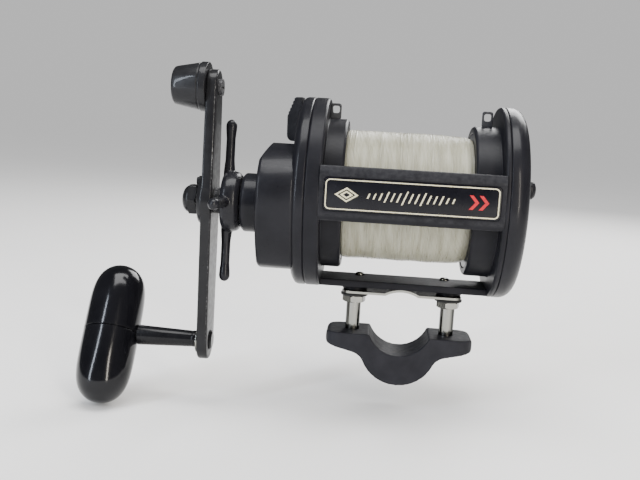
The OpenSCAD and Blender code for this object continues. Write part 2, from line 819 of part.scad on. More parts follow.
// Both halves of the torpedo grip; side 1 is the upper half, side -1 the lower.
module grip_half(side) {
  r = grip_d / 2;
  h = grip_l / 2;
  profile = [for (i = [0:24]) let (t = sin(90 * i / 24)) [r * sqrt(1 - pow(t, 5)), h * t]];
  color(black) on_shaft() translate([grip_x, 0, -crank_r]) rotate([-grip_tilt, 0, 0]) difference() {
    mirror([0, 0, side > 0 ? 0 : 1]) rotate_extrude()
      polygon(concat([[0, 0.02]], [[r, 0.02]], [for (i = [1:24]) profile[i]]));
    rod_x(-20, 20, 3 + slip);
    rod_x(stem_end_x - grip_x - 0.6, stem_end_x - grip_x + 2.2, 4.9);
  }
}
module grip_upper() { grip_half(1); }
module grip_lower() { grip_half(-1); }

// ---------------------------------------------------------------- foot and clamp

foot_screw_x = 20.8;
foot_screw_y = 6.2;

// Strap with an arch that closes over the rod.
module foot_strap() {
  half = 28.5;
  top = strap_bottom + strap_t;
  outer_r = rod_r + strap_t;
  inner_a = asin(strap_bottom / rod_r);
  outer_a = asin(top / outer_r);
  color(chrome) difference() {
    prism_y(strap_w) polygon(concat(
      [[-half, top], [-half, strap_bottom]], arc([0, 0], rod_r, 180 - inner_a, inner_a, 16),
      [[half, strap_bottom], [half, top]], arc([0, 0], outer_r, outer_a, 180 - outer_a, 16)));
    for (s = [-1, 1]) translate([s * stud_x, 0, 0]) cylinder(r = 2.5, h = 30);
    for (s = [-1, 1]) translate([s * foot_screw_x, foot_screw_y, 0]) cylinder(r = 1.2, h = 30);
  }
}

module foot_screws() {
  color(chrome) for (s = [-1, 1]) translate([s * foot_screw_x, foot_screw_y, 0]) {
    translate([0, 0, base_top]) intersection() {
      cylinder(r = 2.4, h = 1.6);
      translate([0, 0, -1.6]) sphere(r = 3.1);
    }
    translate([0, 0, strap_bottom + 0.1]) cylinder(r = 1.2, h = base_top - strap_bottom);
  }
}

stud_neck = 7.8;
clamp_nut_z = -11.7;
module clamp_studs() {
  color(chrome) for (s = [-1, 1]) translate([s * stud_x, 0, 0]) {
    translate([0, 0, -9.2]) cylinder(r = 3.5, h = stud_neck + 9.2);
    translate([0, 0, stud_neck - 0.1]) cylinder(r = 2.5, h = 10.4);
    translate([0, 0, clamp_nut_z]) cylinder(r = 2.5, h = 3);
  }
}

module stud_washers() {
  color(matte_black) for (s = [-1, 1]) translate([s * stud_x, 0, strap_bottom - 2.3])
    for (i = [0, 1]) translate([0, 0, i * 1.15]) difference() {
      cylinder(r = 6.6 - i * 0.5, h = 1.15);
      translate([0, 0, -1]) cylinder(r = 2.5, h = 4);
    }
}

module stud_nuts() {
  color(chrome) for (s = [-1, 1]) translate([s * stud_x, 0, stud_neck]) difference() {
    cylinder(r = 5.77, h = 3.2, $fn = 6);
    translate([0, 0, -1]) cylinder(r = 2.5, h = 6);
  }
}

// Half of the clamp's ear outline: a sloping underside and a concave fillet into the belly.
module clamp_side() {
  fillet_r = 8;
  corner = 2;
  tip_x = clamp_half - corner;
  slope = tan(ear_slope);
  line_z = ear_tip - tip_x * slope;
  reach = belly_r + fillet_r;
  drop = line_z - fillet_r / cos(ear_slope) - belly_z;
  fx = (sqrt(reach * reach * (1 + slope * slope) - drop * drop) - slope * drop)
    / (1 + slope * slope);
  centre = [fx, belly_z + drop + slope * fx];
  difference() {
    polygon([[0, ear_top], [tip_x, ear_top], [tip_x, ear_tip],
             centre + fillet_r * [-sin(ear_slope), cos(ear_slope)],
             [0, belly_z] + belly_r / reach * (centre - [0, belly_z]), [0, belly_z]]);
    translate(centre) circle(r = fillet_r);
  }
  translate([tip_x - 2 * corner, (ear_top + ear_tip) / 2])
    round_rect(6 * corner, ear_top - ear_tip, corner);
}

module rod_clamp() {
  color(matte_black) difference() {
    intersection() {
      prism_y(clamp_w) difference() {
        union() {
          intersection() {
            translate([0, belly_z]) circle(r = belly_r);
            translate([-40, -60]) square([80, 60 + ear_top]);
          }
          clamp_side();
          mirror([1, 0]) clamp_side();
        }
        circle(r = rod_r);
      }
      translate([0, 0, -50]) linear_extrude(60) round_rect(2 * clamp_half, clamp_w, 7);
    }
    for (s = [-1, 1]) translate([s * stud_x, 0, -40]) {
      cylinder(r = 3.6, h = 50);
      cylinder(r = 5.7, h = 40 - 9.3);
    }
  }
}

module clamp_nut(s) {
  color(chrome) translate([s * stud_x, 0, clamp_nut_z]) difference() {
    cylinder(r = 5, h = 2.4, $fn = 6);
    translate([0, 0, -1]) cylinder(r = 2.5 + slip, h = 6);
  }
}
module clamp_nut_left() { clamp_nut(-1); }
module clamp_nut_right() { clamp_nut(1); }

frame();
name_plate();
name_plate_border();
handle_side_plate();
gear_bridge();
handle_plate_screws();
bridge_screws();
tail_side_plate();
tail_plate_screws();
harness_lug_left();
harness_lug_right();
foot_strap();
foot_screws();
clamp_studs();
stud_nuts();
stud_washers();
handle_side_bearing();
tail_side_bearing();
shaft_bush();
dog_pivot();
dog_spring();
click_spring();
spool();
line();
spool_shaft();
click_ratchet();
pinion_gear();
drive_shaft();
ratchet_wheel();
main_gear();
drag_washers_fibre();
drag_washers_metal();
pressure_plate();
spring_washers();
handle_arm();
arm_spacer();
counterweight();
counterweight_screw();
handle_nut();
nut_retainer();
handle_stem();
stem_washer();
grip_upper();
grip_lower();
star_wheel();
star_nut();
freespool_lever();
lever_shaft();
clutch_cam();
clutch_yoke();
anti_reverse_dog();
click_button();
click_pawl();
bearing_cap();
rod_clamp();
clamp_nut_left();
clamp_nut_right();
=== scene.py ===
import json
import math

import bmesh
import bpy
from mathutils import Matrix, Vector


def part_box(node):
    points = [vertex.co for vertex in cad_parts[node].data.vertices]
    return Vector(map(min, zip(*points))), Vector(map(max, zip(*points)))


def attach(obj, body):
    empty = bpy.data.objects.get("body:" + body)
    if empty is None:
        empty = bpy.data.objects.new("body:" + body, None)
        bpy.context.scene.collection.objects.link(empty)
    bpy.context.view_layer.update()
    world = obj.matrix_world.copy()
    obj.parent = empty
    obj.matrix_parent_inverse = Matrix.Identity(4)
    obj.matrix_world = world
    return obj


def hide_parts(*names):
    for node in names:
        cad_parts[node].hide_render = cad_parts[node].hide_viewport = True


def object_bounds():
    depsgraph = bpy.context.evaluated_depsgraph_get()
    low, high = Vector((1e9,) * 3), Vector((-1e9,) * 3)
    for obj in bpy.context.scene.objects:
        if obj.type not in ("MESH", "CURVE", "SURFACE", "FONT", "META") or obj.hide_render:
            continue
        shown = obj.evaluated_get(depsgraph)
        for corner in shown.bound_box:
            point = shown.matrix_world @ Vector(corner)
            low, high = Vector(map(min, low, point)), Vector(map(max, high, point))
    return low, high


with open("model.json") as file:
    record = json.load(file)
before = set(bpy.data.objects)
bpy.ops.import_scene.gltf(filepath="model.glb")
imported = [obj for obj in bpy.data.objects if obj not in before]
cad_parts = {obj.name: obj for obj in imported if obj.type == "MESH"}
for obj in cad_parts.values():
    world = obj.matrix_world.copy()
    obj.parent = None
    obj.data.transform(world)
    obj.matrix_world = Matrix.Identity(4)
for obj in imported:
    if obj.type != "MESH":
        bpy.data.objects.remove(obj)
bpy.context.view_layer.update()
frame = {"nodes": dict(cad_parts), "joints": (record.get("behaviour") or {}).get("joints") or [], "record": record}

MM = 0.001


# ------------------------------------------------------------------ places from the frame

def joint(name):
    return next(j for j in frame["joints"] if j["name"] == name)


def mount(name):
    return next(m for m in frame["record"]["mounts"] if m["name"] == name)


def span(node, axis=0):
    """Lowest and highest coordinate of a CAD node along an axis, in mm."""
    low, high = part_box(node)
    return low[axis] / MM, high[axis] / MM


def middle(node, axis=0):
    """Middle coordinate of a CAD node along an axis, in mm."""
    return sum(span(node, axis)) / 2


SPOOL = Vector(joint("spool_spin")["pos_m"]) / MM
SHAFT = Vector(joint("crank_spin")["pos_m"]) / MM
ROD_R = mount("rod_clamp")["dims"]["r_mm"]
STEM = Vector(joint("grip_spin")["pos_m"]) / MM
LEVER = Vector(joint("lever_throw")["pos_m"]) / MM
ORIGIN = Vector((0, 0, 0))

# The handle is on the low side of X, so on that side an outer face has the lower X.
PLATE_R = (span("frame", 1)[1] - span("frame", 1)[0]) / 2
SEAM_X = span("frame")[0]
TAIL_SEAM_X = span("frame")[1]
SCREW_DEPTH = 0.2
CASE_HEIGHT = 21.3
FACE_X = span("handle_plate_screws")[0] - SCREW_DEPTH
CASE_X = SEAM_X - CASE_HEIGHT
BOSS_X = span("handle_side_plate")[0]
TAIL_X = span("tail_side_plate")[1]
STUD_X = middle("clamp_nut_right")
ARM_IN = span("arm_spacer")[0]
ARM_OUT = span("stem_washer")[1]
HUB_OUT = span("handle_arm")[0]
COUNTER_Z = middle("counterweight", 2)
STAND_UP = Matrix.Rotation(math.radians(-90), 4, "Y")


# ------------------------------------------------------------------ mesh tools

def soften(points, radius, closed=True, steps=4):
    """Rounds each corner of a path by at most radius, and by less where its sides are short."""
    out = []
    count = len(points)
    for i, p in enumerate(points):
        p = Vector(p)
        if not closed and i in (0, count - 1):
            out.append(p)
            continue
        before = Vector(points[i - 1]) - p
        after = Vector(points[(i + 1) % count]) - p
        cut = min(radius, 0.45 * before.length, 0.45 * after.length)
        if cut < 0.01 or before.angle(after) > math.radians(172):
            out.append(p)
            continue
        a, b = p + before.normalized() * cut, p + after.normalized() * cut
        for s in range(steps + 1):
            t = s / steps
            out.append(a * (1 - t) ** 2 + p * 2 * t * (1 - t) + b * t * t)
    return out


def make(name, verts, faces, matrix=None):
    """Mesh object from points in mm."""
    mesh = bpy.data.meshes.new(name)
    mesh.from_pydata([Vector(v) * MM for v in verts], [], faces)
    if matrix is not None:
        scaled = matrix.copy()
        scaled.translation = scaled.translation * MM
        mesh.transform(scaled)
    bm = bmesh.new()
    bm.from_mesh(mesh)
    bmesh.ops.remove_doubles(bm, verts=bm.verts, dist=1e-7)
    bmesh.ops.recalc_face_normals(bm, faces=bm.faces)
    bm.to_mesh(mesh)
    bm.free()
    obj = bpy.data.objects.new(name, mesh)
    bpy.context.scene.collection.objects.link(obj)
    return obj


def lathe(name, profile, centre=ORIGIN, soft=0.4, steps=128, ripple=None, matrix=None):
    """Solid swept about the X axis through centre by a path of (x, r). ripple(angle, r) moves r."""
    closed = profile[0][1] > 0
    path = soften(profile, soft, closed)
    verts, rings = [], []
    for p in path:
        if p[1] <= 1e-6:
            rings.append([len(verts)])
            verts.append((p[0], 0, 0))
            continue
        ring = []
        for s in range(steps):
            a = 2 * math.pi * s / steps
            r = p[1] + (ripple(a, p[1]) if ripple else 0)
            ring.append(len(verts))
            verts.append((p[0], r * math.cos(a), r * math.sin(a)))
        rings.append(ring)
    faces = []
    for i in range(len(rings) if closed else len(rings) - 1):
        a, b = rings[i], rings[(i + 1) % len(rings)]
        for s in range(steps):
            t = (s + 1) % steps
            quad = [a[s % len(a)], a[t % len(a)], b[t % len(b)], b[s % len(b)]]
            faces.append(list(dict.fromkeys(quad)))
    place = Matrix.Translation(centre) @ (matrix or Matrix.Identity(4))
    return make(name, verts, faces, place)


# Each plane maps a drawing's two axes and its depth to x, y and z.
PLANES = {
    "yz": lambda u, v, w: (w, u, v),
    "xz": lambda u, v, w: (u, w, v),
    "xy": lambda u, v, w: (u, v, w),
}


def slab(name, outline, plane, low, high, bevel=0.0, centre=ORIGIN, segments=3, soft=0.0):
    """Outline of (u, v) in mm, extruded from low to high across its plane, with rounded rims."""
    path = soften(outline, soft) if soft else [Vector(p) for p in outline]
    n = len(path)
    place = PLANES[plane]
    verts = [place(p[0], p[1], w) for w in (low, high) for p in path]
    faces = [list(range(n)), list(range(n, 2 * n))]
    faces += [[i, (i + 1) % n, n + (i + 1) % n, n + i] for i in range(n)]
    obj = make(name, verts, faces, Matrix.Translation(centre))
    if bevel:
        bm = bmesh.new()
        bm.from_mesh(obj.data)
        rims = [e for e in bm.edges if any(len(f.verts) == n for f in e.link_faces)]
        bmesh.ops.bevel(bm, geom=rims, offset=bevel * MM, segments=segments, profile=0.5,
                        affect="EDGES", clamp_overlap=False)
        bm.to_mesh(obj.data)
        bm.free()
    return obj


def combine(obj, others, operation):
    """Boolean of obj with others, applied; the others are removed."""
    for other in others:
        step = obj.modifiers.new("step", "BOOLEAN")
        step.operation = operation
        step.solver = "EXACT"
        step.object = other
        graph = bpy.context.evaluated_depsgraph_get()
        mesh = bpy.data.meshes.new_from_object(obj.evaluated_get(graph))
        obj.modifiers.clear()
        obj.data = mesh
        bpy.data.objects.remove(other)
    return obj


def add(obj, *others):
    return combine(obj, others, "UNION")


def cut(obj, *others):
    return combine(obj, others, "DIFFERENCE")


def keep(obj, *others):
    return combine(obj, others, "INTERSECT")


def cast(piece, voxel_mm, rounds):
    """Softens a piece's edges like a casting's, by a fine remesh and a few smoothing rounds."""
    blend = piece.modifiers.new("blend", "REMESH")
    blend.mode = "VOXEL"
    blend.voxel_size = voxel_mm * MM
    relax = piece.modifiers.new("relax", "SMOOTH")
    relax.iterations = rounds
    relax.factor = 0.5
    graph = bpy.context.evaluated_depsgraph_get()
    mesh = bpy.data.meshes.new_from_object(piece.evaluated_get(graph))
    piece.modifiers.clear()
    piece.data = mesh


def rod(x0, x1, r, centre=ORIGIN, steps=64):
    """Cylinder along X."""
    return lathe("rod", [(x0, 0), (x0, r), (x1, r), (x1, 0)], centre, soft=0, steps=steps)


def upright(name, profile, centre, soft=0.25, steps=64):
    """Lathe about a vertical axis; the profile is (height, r)."""
    return lathe(name, profile, centre, soft, steps, matrix=STAND_UP)


def post(low, high, r, centre, steps=48):
    """Upright cylinder."""
    return upright("post", [(low, 0), (low, r), (high, r), (high, 0)], centre, 0, steps)


def rod_y(x, half, r, centre):
    """Cylinder along Y, reaching half each way from centre, moved x along X."""
    turn = Matrix.Rotation(math.radians(90), 4, "Z")
    return lathe("rod", [(-half, 0), (-half, r), (half, r), (half, 0)],
                 centre + Vector((x, 0, 0)), 0, 16, matrix=turn)


def arc(centre, r, start, end, steps=12):
    """Points on an arc, angles in degrees."""
    points = []
    for i in range(steps + 1):
        a = math.radians(start + (end - start) * i / steps)
        points.append((centre[0] + r * math.cos(a), centre[1] + r * math.sin(a)))
    return points


def hexagon(radius, turn=0):
    """Corners of a hexagon, turned by an angle in degrees."""
    angles = [math.radians(60 * i + turn) for i in range(6)]
    return [(radius * math.cos(a), radius * math.sin(a)) for a in angles]


def round_rect(cu, cv, width, height, r, steps=8):
    """Outline of a rectangle with round corners."""
    u, v = width / 2 - r, height / 2 - r
    return (arc((cu + u, cv + v), r, 0, 90, steps) + arc((cu - u, cv + v), r, 90, 180, steps)
            + arc((cu - u, cv - v), r, 180, 270, steps)
            + arc((cu + u, cv - v), r, 270, 360, steps))


def tube_faces(rings, sides, closed=False):
    """Faces that join rings of points, each of so many sides; a closed tube also joins its ends."""
    faces = []
    for i in range(rings if closed else rings - 1):
        j = (i + 1) % rings
        for s in range(sides):
            t = (s + 1) % sides
            faces.append([i * sides + s, i * sides + t, j * sides + t, j * sides + s])
    return faces


def wire(name, path, r, sides=16):
    """Round wire along a path of points in mm, with flat ends."""
    verts = []
    points = [Vector(p) for p in path]
    count = len(points)
    side = None
    for i, p in enumerate(points):
        way = (points[min(i + 1, count - 1)] - points[max(i - 1, 0)]).normalized()
        if side is None:
            side = way.orthogonal().normalized()
        side = (side - way * side.dot(way)).normalized()
        up = way.cross(side)
        for s in range(sides):
            a = 2 * math.pi * s / sides
            verts.append(p + (side * math.cos(a) + up * math.sin(a)) * r)
    ends = [list(range(sides)), [(count - 1) * sides + s for s in range(sides)]]
    return make(name, verts, tube_faces(count, sides) + ends)


def smooth(obj, angle=32):
    """Shades smooth, with edges sharper than angle kept sharp."""
    obj.data.polygons.foreach_set("use_smooth", [True] * len(obj.data.polygons))
    obj.data.set_sharp_from_angle(angle=math.radians(angle))
    obj.data.update()


def dress(obj, body, material, slot, *nodes, angle=32):
    """Finishes a piece: shading, material, the body it rides on and the CAD nodes it stands for."""
    smooth(obj, angle)
    obj.data.materials.clear()
    obj.data.materials.append(material)
    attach(obj, body)
    if nodes:
        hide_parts(*nodes)
    return obj


# ------------------------------------------------------------------ materials

class Shader:
    """A node material with short calls for adding and linking nodes."""

    def __init__(self, name):
        self.material = bpy.data.materials.new(name)
        self.material.use_nodes = True
        self.tree = self.material.node_tree
        self.out = self.tree.nodes["Principled BSDF"]
        self.place = self.node("ShaderNodeTexCoord").outputs["Object"]

    def node(self, kind, **settings):
        made = self.tree.nodes.new(kind)
        for key, value in settings.items():
            setattr(made, key, value)
        return made

    def link(self, source, target):
        self.tree.links.new(source, target)

    def noise(self, size_mm, detail=4.0, rough=0.55, stretch=None):
        """Noise with features about size_mm across; stretch scales the coordinates."""
        made = self.node("ShaderNodeTexNoise")
        made.inputs["Scale"].default_value = 1 / (size_mm * MM)
        made.inputs["Detail"].default_value = detail
        made.inputs["Roughness"].default_value = rough
        source = self.place
        if stretch:
            mapping = self.node("ShaderNodeMapping")
            mapping.inputs["Scale"].default_value = stretch
            self.link(source, mapping.inputs["Vector"])
            source = mapping.outputs["Vector"]
        self.link(source, made.inputs["Vector"])
        return made.outputs["Fac"]

    def ramp(self, source, low, high, start, end):
        """Maps source from low..high to start..end."""
        made = self.node("ShaderNodeMapRange")
        made.inputs["From Min"].default_value = low
        made.inputs["From Max"].default_value = high
        made.inputs["To Min"].default_value = start
        made.inputs["To Max"].default_value = end
        self.link(source, made.inputs["Value"])
        return made.outputs["Result"]

    def math(self, operation, a, b):
        made = self.node("ShaderNodeMath", operation=operation)
        for socket, value in zip(made.inputs, (a, b)):
            if isinstance(value, (int, float)):
                socket.default_value = value
            else:
                self.link(value, socket)
        return made.outputs[0]

    def mix(self, factor, a, b):
        """Colour between a and b; each is a colour or a socket."""
        made = self.node("ShaderNodeMix", data_type="RGBA")
        for socket, value in ((made.inputs[0], factor), (made.inputs[6], a), (made.inputs[7], b)):
            if hasattr(value, "is_linked"):
                self.link(value, socket)
            elif isinstance(value, (tuple, list)):
                socket.default_value = (*value, 1)
            else:
                socket.default_value = value
        return made.outputs[2]

    def bump(self, height, depth_mm, edge_mm=0.0):
        """Surface relief of depth_mm; edge_mm also rounds the look of sharp edges."""
        made = self.node("ShaderNodeBump")
        made.inputs["Distance"].default_value = depth_mm * MM
        self.link(height, made.inputs["Height"])
        if edge_mm:
            edge = self.node("ShaderNodeBevel", samples=4)
            edge.inputs["Radius"].default_value = edge_mm * MM
            self.link(edge.outputs["Normal"], made.inputs["Normal"])
        self.link(made.outputs["Normal"], self.out.inputs["Normal"])

    def edges(self, low=0.52, high=0.6):
        """1 on worn convex edges, 0 elsewhere."""
        geometry = self.node("ShaderNodeNewGeometry")
        return self.ramp(geometry.outputs["Pointiness"], low, high, 0, 1)


def plastic(name, colour, rough, grain_mm=0.35, relief_mm=0.02, wear=0.35, coat=0.0):
    """Moulded black plastic: mottled tone, fine grain, handling marks and paler worn edges."""
    s = Shader(name)
    mottle = s.noise(14)
    pale = tuple(c * 1.5 + 0.001 for c in colour)
    tone = s.mix(s.ramp(mottle, 0.3, 0.7, 0, 1), colour, pale)
    scuff = s.noise(2.2, 8, 0.7)
    worn = s.math("MULTIPLY", s.edges(), s.ramp(scuff, 0.35, 0.65, 0, wear))
    s.link(s.mix(worn, tone, (0.09, 0.09, 0.095)), s.out.inputs["Base Color"])
    marks = s.noise(1.6, 6, 0.6, (1, 5, 0.6))
    base = s.ramp(marks, 0.3, 0.75, rough - 0.06, rough + 0.1)
    s.link(s.math("ADD", base, s.math("MULTIPLY", worn, 0.25)), s.out.inputs["Roughness"])
    s.out.inputs["Specular IOR Level"].default_value = 0.11
    s.out.inputs["Coat Weight"].default_value = coat
    s.out.inputs["Coat Roughness"].default_value = 0.12
    s.bump(s.noise(grain_mm, 3), relief_mm, 0.25)
    return s.material


def coated_metal(name, colour, rough, grain_mm, relief_mm, bare=(0.45, 0.45, 0.46), wear=0.5):
    """Anodised or powder-coated metal with bare metal showing at rubbed edges."""
    s = Shader(name)
    mottle = s.noise(9)
    tone = s.mix(s.ramp(mottle, 0.3, 0.7, 0, 1), colour, tuple(c * 1.5 + 0.001 for c in colour))
    chips = s.ramp(s.noise(1.4, 9, 0.72), 0.5, 0.66, 0, wear)
    worn = s.math("MULTIPLY", s.edges(0.55, 0.64), chips)
    s.link(s.mix(worn, tone, bare), s.out.inputs["Base Color"])
    s.link(worn, s.out.inputs["Metallic"])
    s.link(s.ramp(s.noise(2.5, 6), 0.3, 0.7, rough - 0.05, rough + 0.1),
           s.out.inputs["Roughness"])
    s.out.inputs["Specular IOR Level"].default_value = 0.13
    s.out.inputs["Coat Weight"].default_value = 0.15 if rough < 0.4 else 0
    s.bump(s.noise(grain_mm, 4), relief_mm, 0.2)
    return s.material


def bare_metal(name, colour, rough, stretch=(1, 40, 40), tarnish=(0.35, 0.32, 0.27), amount=0.25,
               rim=0.0):
    """Machined or polished metal: turning marks, faint tarnish and uneven polish.

    rim paints a dark reflection into the colour of the sides that turn away, standing in for the dark surroundings
    that polished metal mirrors.
    """
    s = Shader(name)
    cloud = s.ramp(s.noise(6, 5), 0.45, 0.75, 0, amount)
    tone = s.mix(cloud, colour, tarnish)
    if rim:
        # painted reflection: the base colour darkens towards grazing angles, in place of mirrored dark
        # surroundings
        turned = s.node("ShaderNodeLayerWeight").outputs["Facing"]
        tone = s.mix(s.ramp(turned, 0.08, 0.38, 0, rim), tone, tuple(c * 0.06 for c in colour))
    s.link(tone, s.out.inputs["Base Color"])
    s.out.inputs["Metallic"].default_value = 1
    lines = s.noise(3, 3, 0.5, stretch)
    s.link(s.ramp(lines, 0.3, 0.7, max(0.04, rough - 0.06), rough + 0.12),
           s.out.inputs["Roughness"])
    s.bump(lines, 0.004, 0.15)
    return s.material


def mono_line():
    """Wound monofilament: pale, slightly see-through strands with dirtier bands."""
    s = Shader("mono_line")
    band = s.noise(3.2, 5, 0.6, (1, 0.12, 0.12))
    streak = s.noise(0.7, 3, 0.6, (1, 0.05, 0.05))
    pale, olive = (0.37, 0.36, 0.285), (0.24, 0.23, 0.165)
    tone = s.mix(s.ramp(band, 0.36, 0.66, 0, 0.9), pale, olive)
    s.link(s.mix(s.ramp(streak, 0.5, 0.8, 0, 0.5), tone, (0.47, 0.46, 0.39)),
           s.out.inputs["Base Color"])
    s.link(s.ramp(streak, 0.3, 0.7, 0.22, 0.42), s.out.inputs["Roughness"])
    s.out.inputs["Subsurface Weight"].default_value = 0.25
    s.out.inputs["Subsurface Radius"].default_value = (0.0012, 0.0012, 0.0009)
    s.out.inputs["Subsurface Scale"].default_value = 1.0
    s.bump(s.noise(0.25, 2), 0.006)
    return s.material


def foil(name, colour, rough=0.28):
    """Hot-stamped foil, slightly broken up."""
    s = Shader(name)
    flecks = s.ramp(s.noise(0.5, 4), 0.55, 0.8, 0, 0.5)
    s.link(s.mix(flecks, colour, tuple(c * 0.45 for c in colour)), s.out.inputs["Base Color"])
    s.out.inputs["Metallic"].default_value = 0.55
    s.link(s.ramp(s.noise(0.8, 3), 0.3, 0.7, rough - 0.08, rough + 0.15),
           s.out.inputs["Roughness"])
    s.bump(s.noise(0.3, 2), 0.003)
    return s.material


GRAPHITE = plastic("graphite", (0.008, 0.008, 0.01), 0.36, 0.3, 0.010, wear=0.2)
SIDE = plastic("side_plastic", (0.007, 0.007, 0.009), 0.32, 0.4, 0.010, wear=0.2, coat=0.1)
PLATE = plastic("plate_gloss", (0.004, 0.004, 0.006), 0.2, 0.6, 0.004, wear=0.05, coat=0.2)
LEVER_BLACK = plastic("lever_plastic", (0.009, 0.009, 0.011), 0.34, 0.3, 0.012, wear=0.2)
GRIP_BLACK = plastic("grip_gloss", (0.003, 0.003, 0.004), 0.16, 1.1, 0.006, wear=0.08, coat=0.35)
ARM_BLACK = coated_metal("arm_anodised", (0.008, 0.008, 0.009), 0.32, 0.25, 0.006, wear=0.25)
STAR_BLACK = coated_metal("star_anodised", (0.008, 0.008, 0.01), 0.28, 0.4, 0.008, wear=0.2)
STEM_BLACK = coated_metal("stem_anodised", (0.005, 0.005, 0.006), 0.22, 0.3, 0.004, wear=0.15)
CLAMP_BLACK = coated_metal("clamp_powder", (0.012, 0.012, 0.015), 0.55, 0.45, 0.02, wear=0.08)
SPOOL_BLACK = coated_metal("spool_anodised", (0.02, 0.02, 0.024), 0.3, 0.3, 0.005, wear=0.3)
# chrome and steel get a painted dark reflection on their turned-away sides through rim
CHROME = bare_metal("chrome", (0.30, 0.30, 0.275), 0.12, rim=0.95)
STEEL = bare_metal("steel", (0.42, 0.42, 0.43), 0.28, rim=0.5)
DARK_STEEL = coated_metal("black_oxide", (0.03, 0.03, 0.033), 0.34, 0.2, 0.006, wear=0.6)
BRONZE = bare_metal("bronze", (0.62, 0.44, 0.2), 0.32, tarnish=(0.3, 0.2, 0.1))
RUBBER = plastic("washer_rubber", (0.02, 0.02, 0.02), 0.6, 0.2, 0.02, wear=0.2)
FIBRE = plastic("drag_fibre", (0.16, 0.11, 0.07), 0.7, 0.18, 0.05, wear=0.2)
LINE = mono_line()
FOIL = foil("champagne_foil", (0.80, 0.74, 0.52))
RED = foil("red_foil", (0.55, 0.02, 0.03), 0.32)

SLOT_MATERIALS = {
    "graphite": GRAPHITE, "side_black": SIDE, "plate_black": PLATE, "plate_line": FOIL,
    "steel": STEEL, "dark_steel": DARK_STEEL, "chrome": CHROME, "rubber_black": RUBBER,
    "bronze": BRONZE, "spool_alu": SPOOL_BLACK, "line_mono": LINE, "fibre": FIBRE,
    "arm_black": ARM_BLACK, "stem_black": STEM_BLACK, "grip_black": GRIP_BLACK,
    "star_black": STAR_BLACK, "lever_black": LEVER_BLACK, "clamp_black": CLAMP_BLACK,
}


def dress_cad_nodes():
    """Gives every carried-over CAD node the procedural material of its slot."""
    slots = {p["node"]: p["material_slot"] for p in frame["record"]["subparts"]}
    for name, obj in frame["nodes"].items():
        obj.data.materials.clear()
        obj.data.materials.append(SLOT_MATERIALS[slots[name]])


# ------------------------------------------------------------------ frame and plates

FLANGE_BORE = 32
SHOULDER_R = 35.5
LINE_OVERLAP = 0.25
SHOULDER_LEFT = span("line")[0] + LINE_OVERLAP
SHOULDER_RIGHT = span("line")[1] - LINE_OVERLAP
RIM_X = TAIL_SEAM_X - 2.5
BAR_X = RIM_X + 0.6
CUP_R = PLATE_R - 2.3
PLATE_MID = SPOOL.z + 3.25
PLATE_SIZE = (76, 14.6)
BASE_TOP = SPOOL.z - 40.3
BASE_LOW = SPOOL.z - 43.6
STRAP_LOW = span("foot_strap", 2)[0]
STRAP_T = 1.15
SCREW_HEAD_R = 2.6
TAIL_HEAD_R = 2.4


def around(angles, radius, centre=SPOOL):
    """Centres on a bolt circle about an X axis, with angles in degrees."""
    return [centre + Vector((0, radius * math.cos(math.radians(a)),
                             radius * math.sin(math.radians(a)))) for a in angles]


HANDLE_SCREWS = around((28, 62, 112, -20, -60, -100), 39)
TAIL_SCREWS = around((30, 90, 120, 210, 270, 330), 35)


def build_frame():
    """Two rings joined by the name bar, the rear bar and the base bar."""
    body = lathe("reel_frame", [
        (SHOULDER_LEFT, FLANGE_BORE), (SHOULDER_LEFT, SHOULDER_R - 0.8),
        (SHOULDER_LEFT - 1, SHOULDER_R),
        (-RIM_X, SHOULDER_R), (-RIM_X, PLATE_R - 0.6), (-RIM_X - 0.8, PLATE_R),
        (SEAM_X + 0.5, PLATE_R), (SEAM_X, PLATE_R - 0.5), (SEAM_X, CUP_R),
        (-RIM_X - 2, CUP_R), (-RIM_X - 2, FLANGE_BORE)], SPOOL, 0.5, 160)
    tail = lathe("tail_ring", [
        (SHOULDER_RIGHT, FLANGE_BORE), (SHOULDER_RIGHT, SHOULDER_R - 0.8),
        (SHOULDER_RIGHT + 1, SHOULDER_R),
        (RIM_X, SHOULDER_R), (RIM_X, PLATE_R - 0.6), (RIM_X + 0.8, PLATE_R),
        (TAIL_SEAM_X - 0.4, PLATE_R), (TAIL_SEAM_X, PLATE_R - 0.4),
        (TAIL_SEAM_X, FLANGE_BORE)], SPOOL, 0.5, 160)
    name_bar = slab("name_bar", [(-41, -8.6), (-43.4, -8.6), (-45, -6), (-45, 12.2),
                                 (-43.2, 15.4), (-41, 15.4)], "yz", -BAR_X, BAR_X,
                    centre=SPOOL, soft=0.6)
    rear_bar = slab("rear_bar", [(41, -7), (43.2, -7), (44.2, -5), (44.2, 5), (43.2, 7), (41, 7)],
                    "yz", -BAR_X, BAR_X, centre=SPOOL, soft=0.6)
    base = slab("base_bar", [(-11, BASE_LOW), (11, BASE_LOW), (11, BASE_TOP), (-11, BASE_TOP)],
                "yz", -BAR_X, BAR_X, soft=0.7)
    bosses = [post(STRAP_LOW + STRAP_T, BASE_LOW + 1, 6, Vector((s * STUD_X, 0, 0)))
              for s in (-1, 1)]
    add(body, tail, name_bar, rear_bar, base, *bosses)
    width, height = PLATE_SIZE
    cut(body, slab("recess", round_rect(0, PLATE_MID, width + 0.4, height + 0.4, 2.1), "xz",
                   -PLATE_R - 2, -PLATE_R + 0.68))
    dress(body, "frame", GRAPHITE, "graphite", "frame")


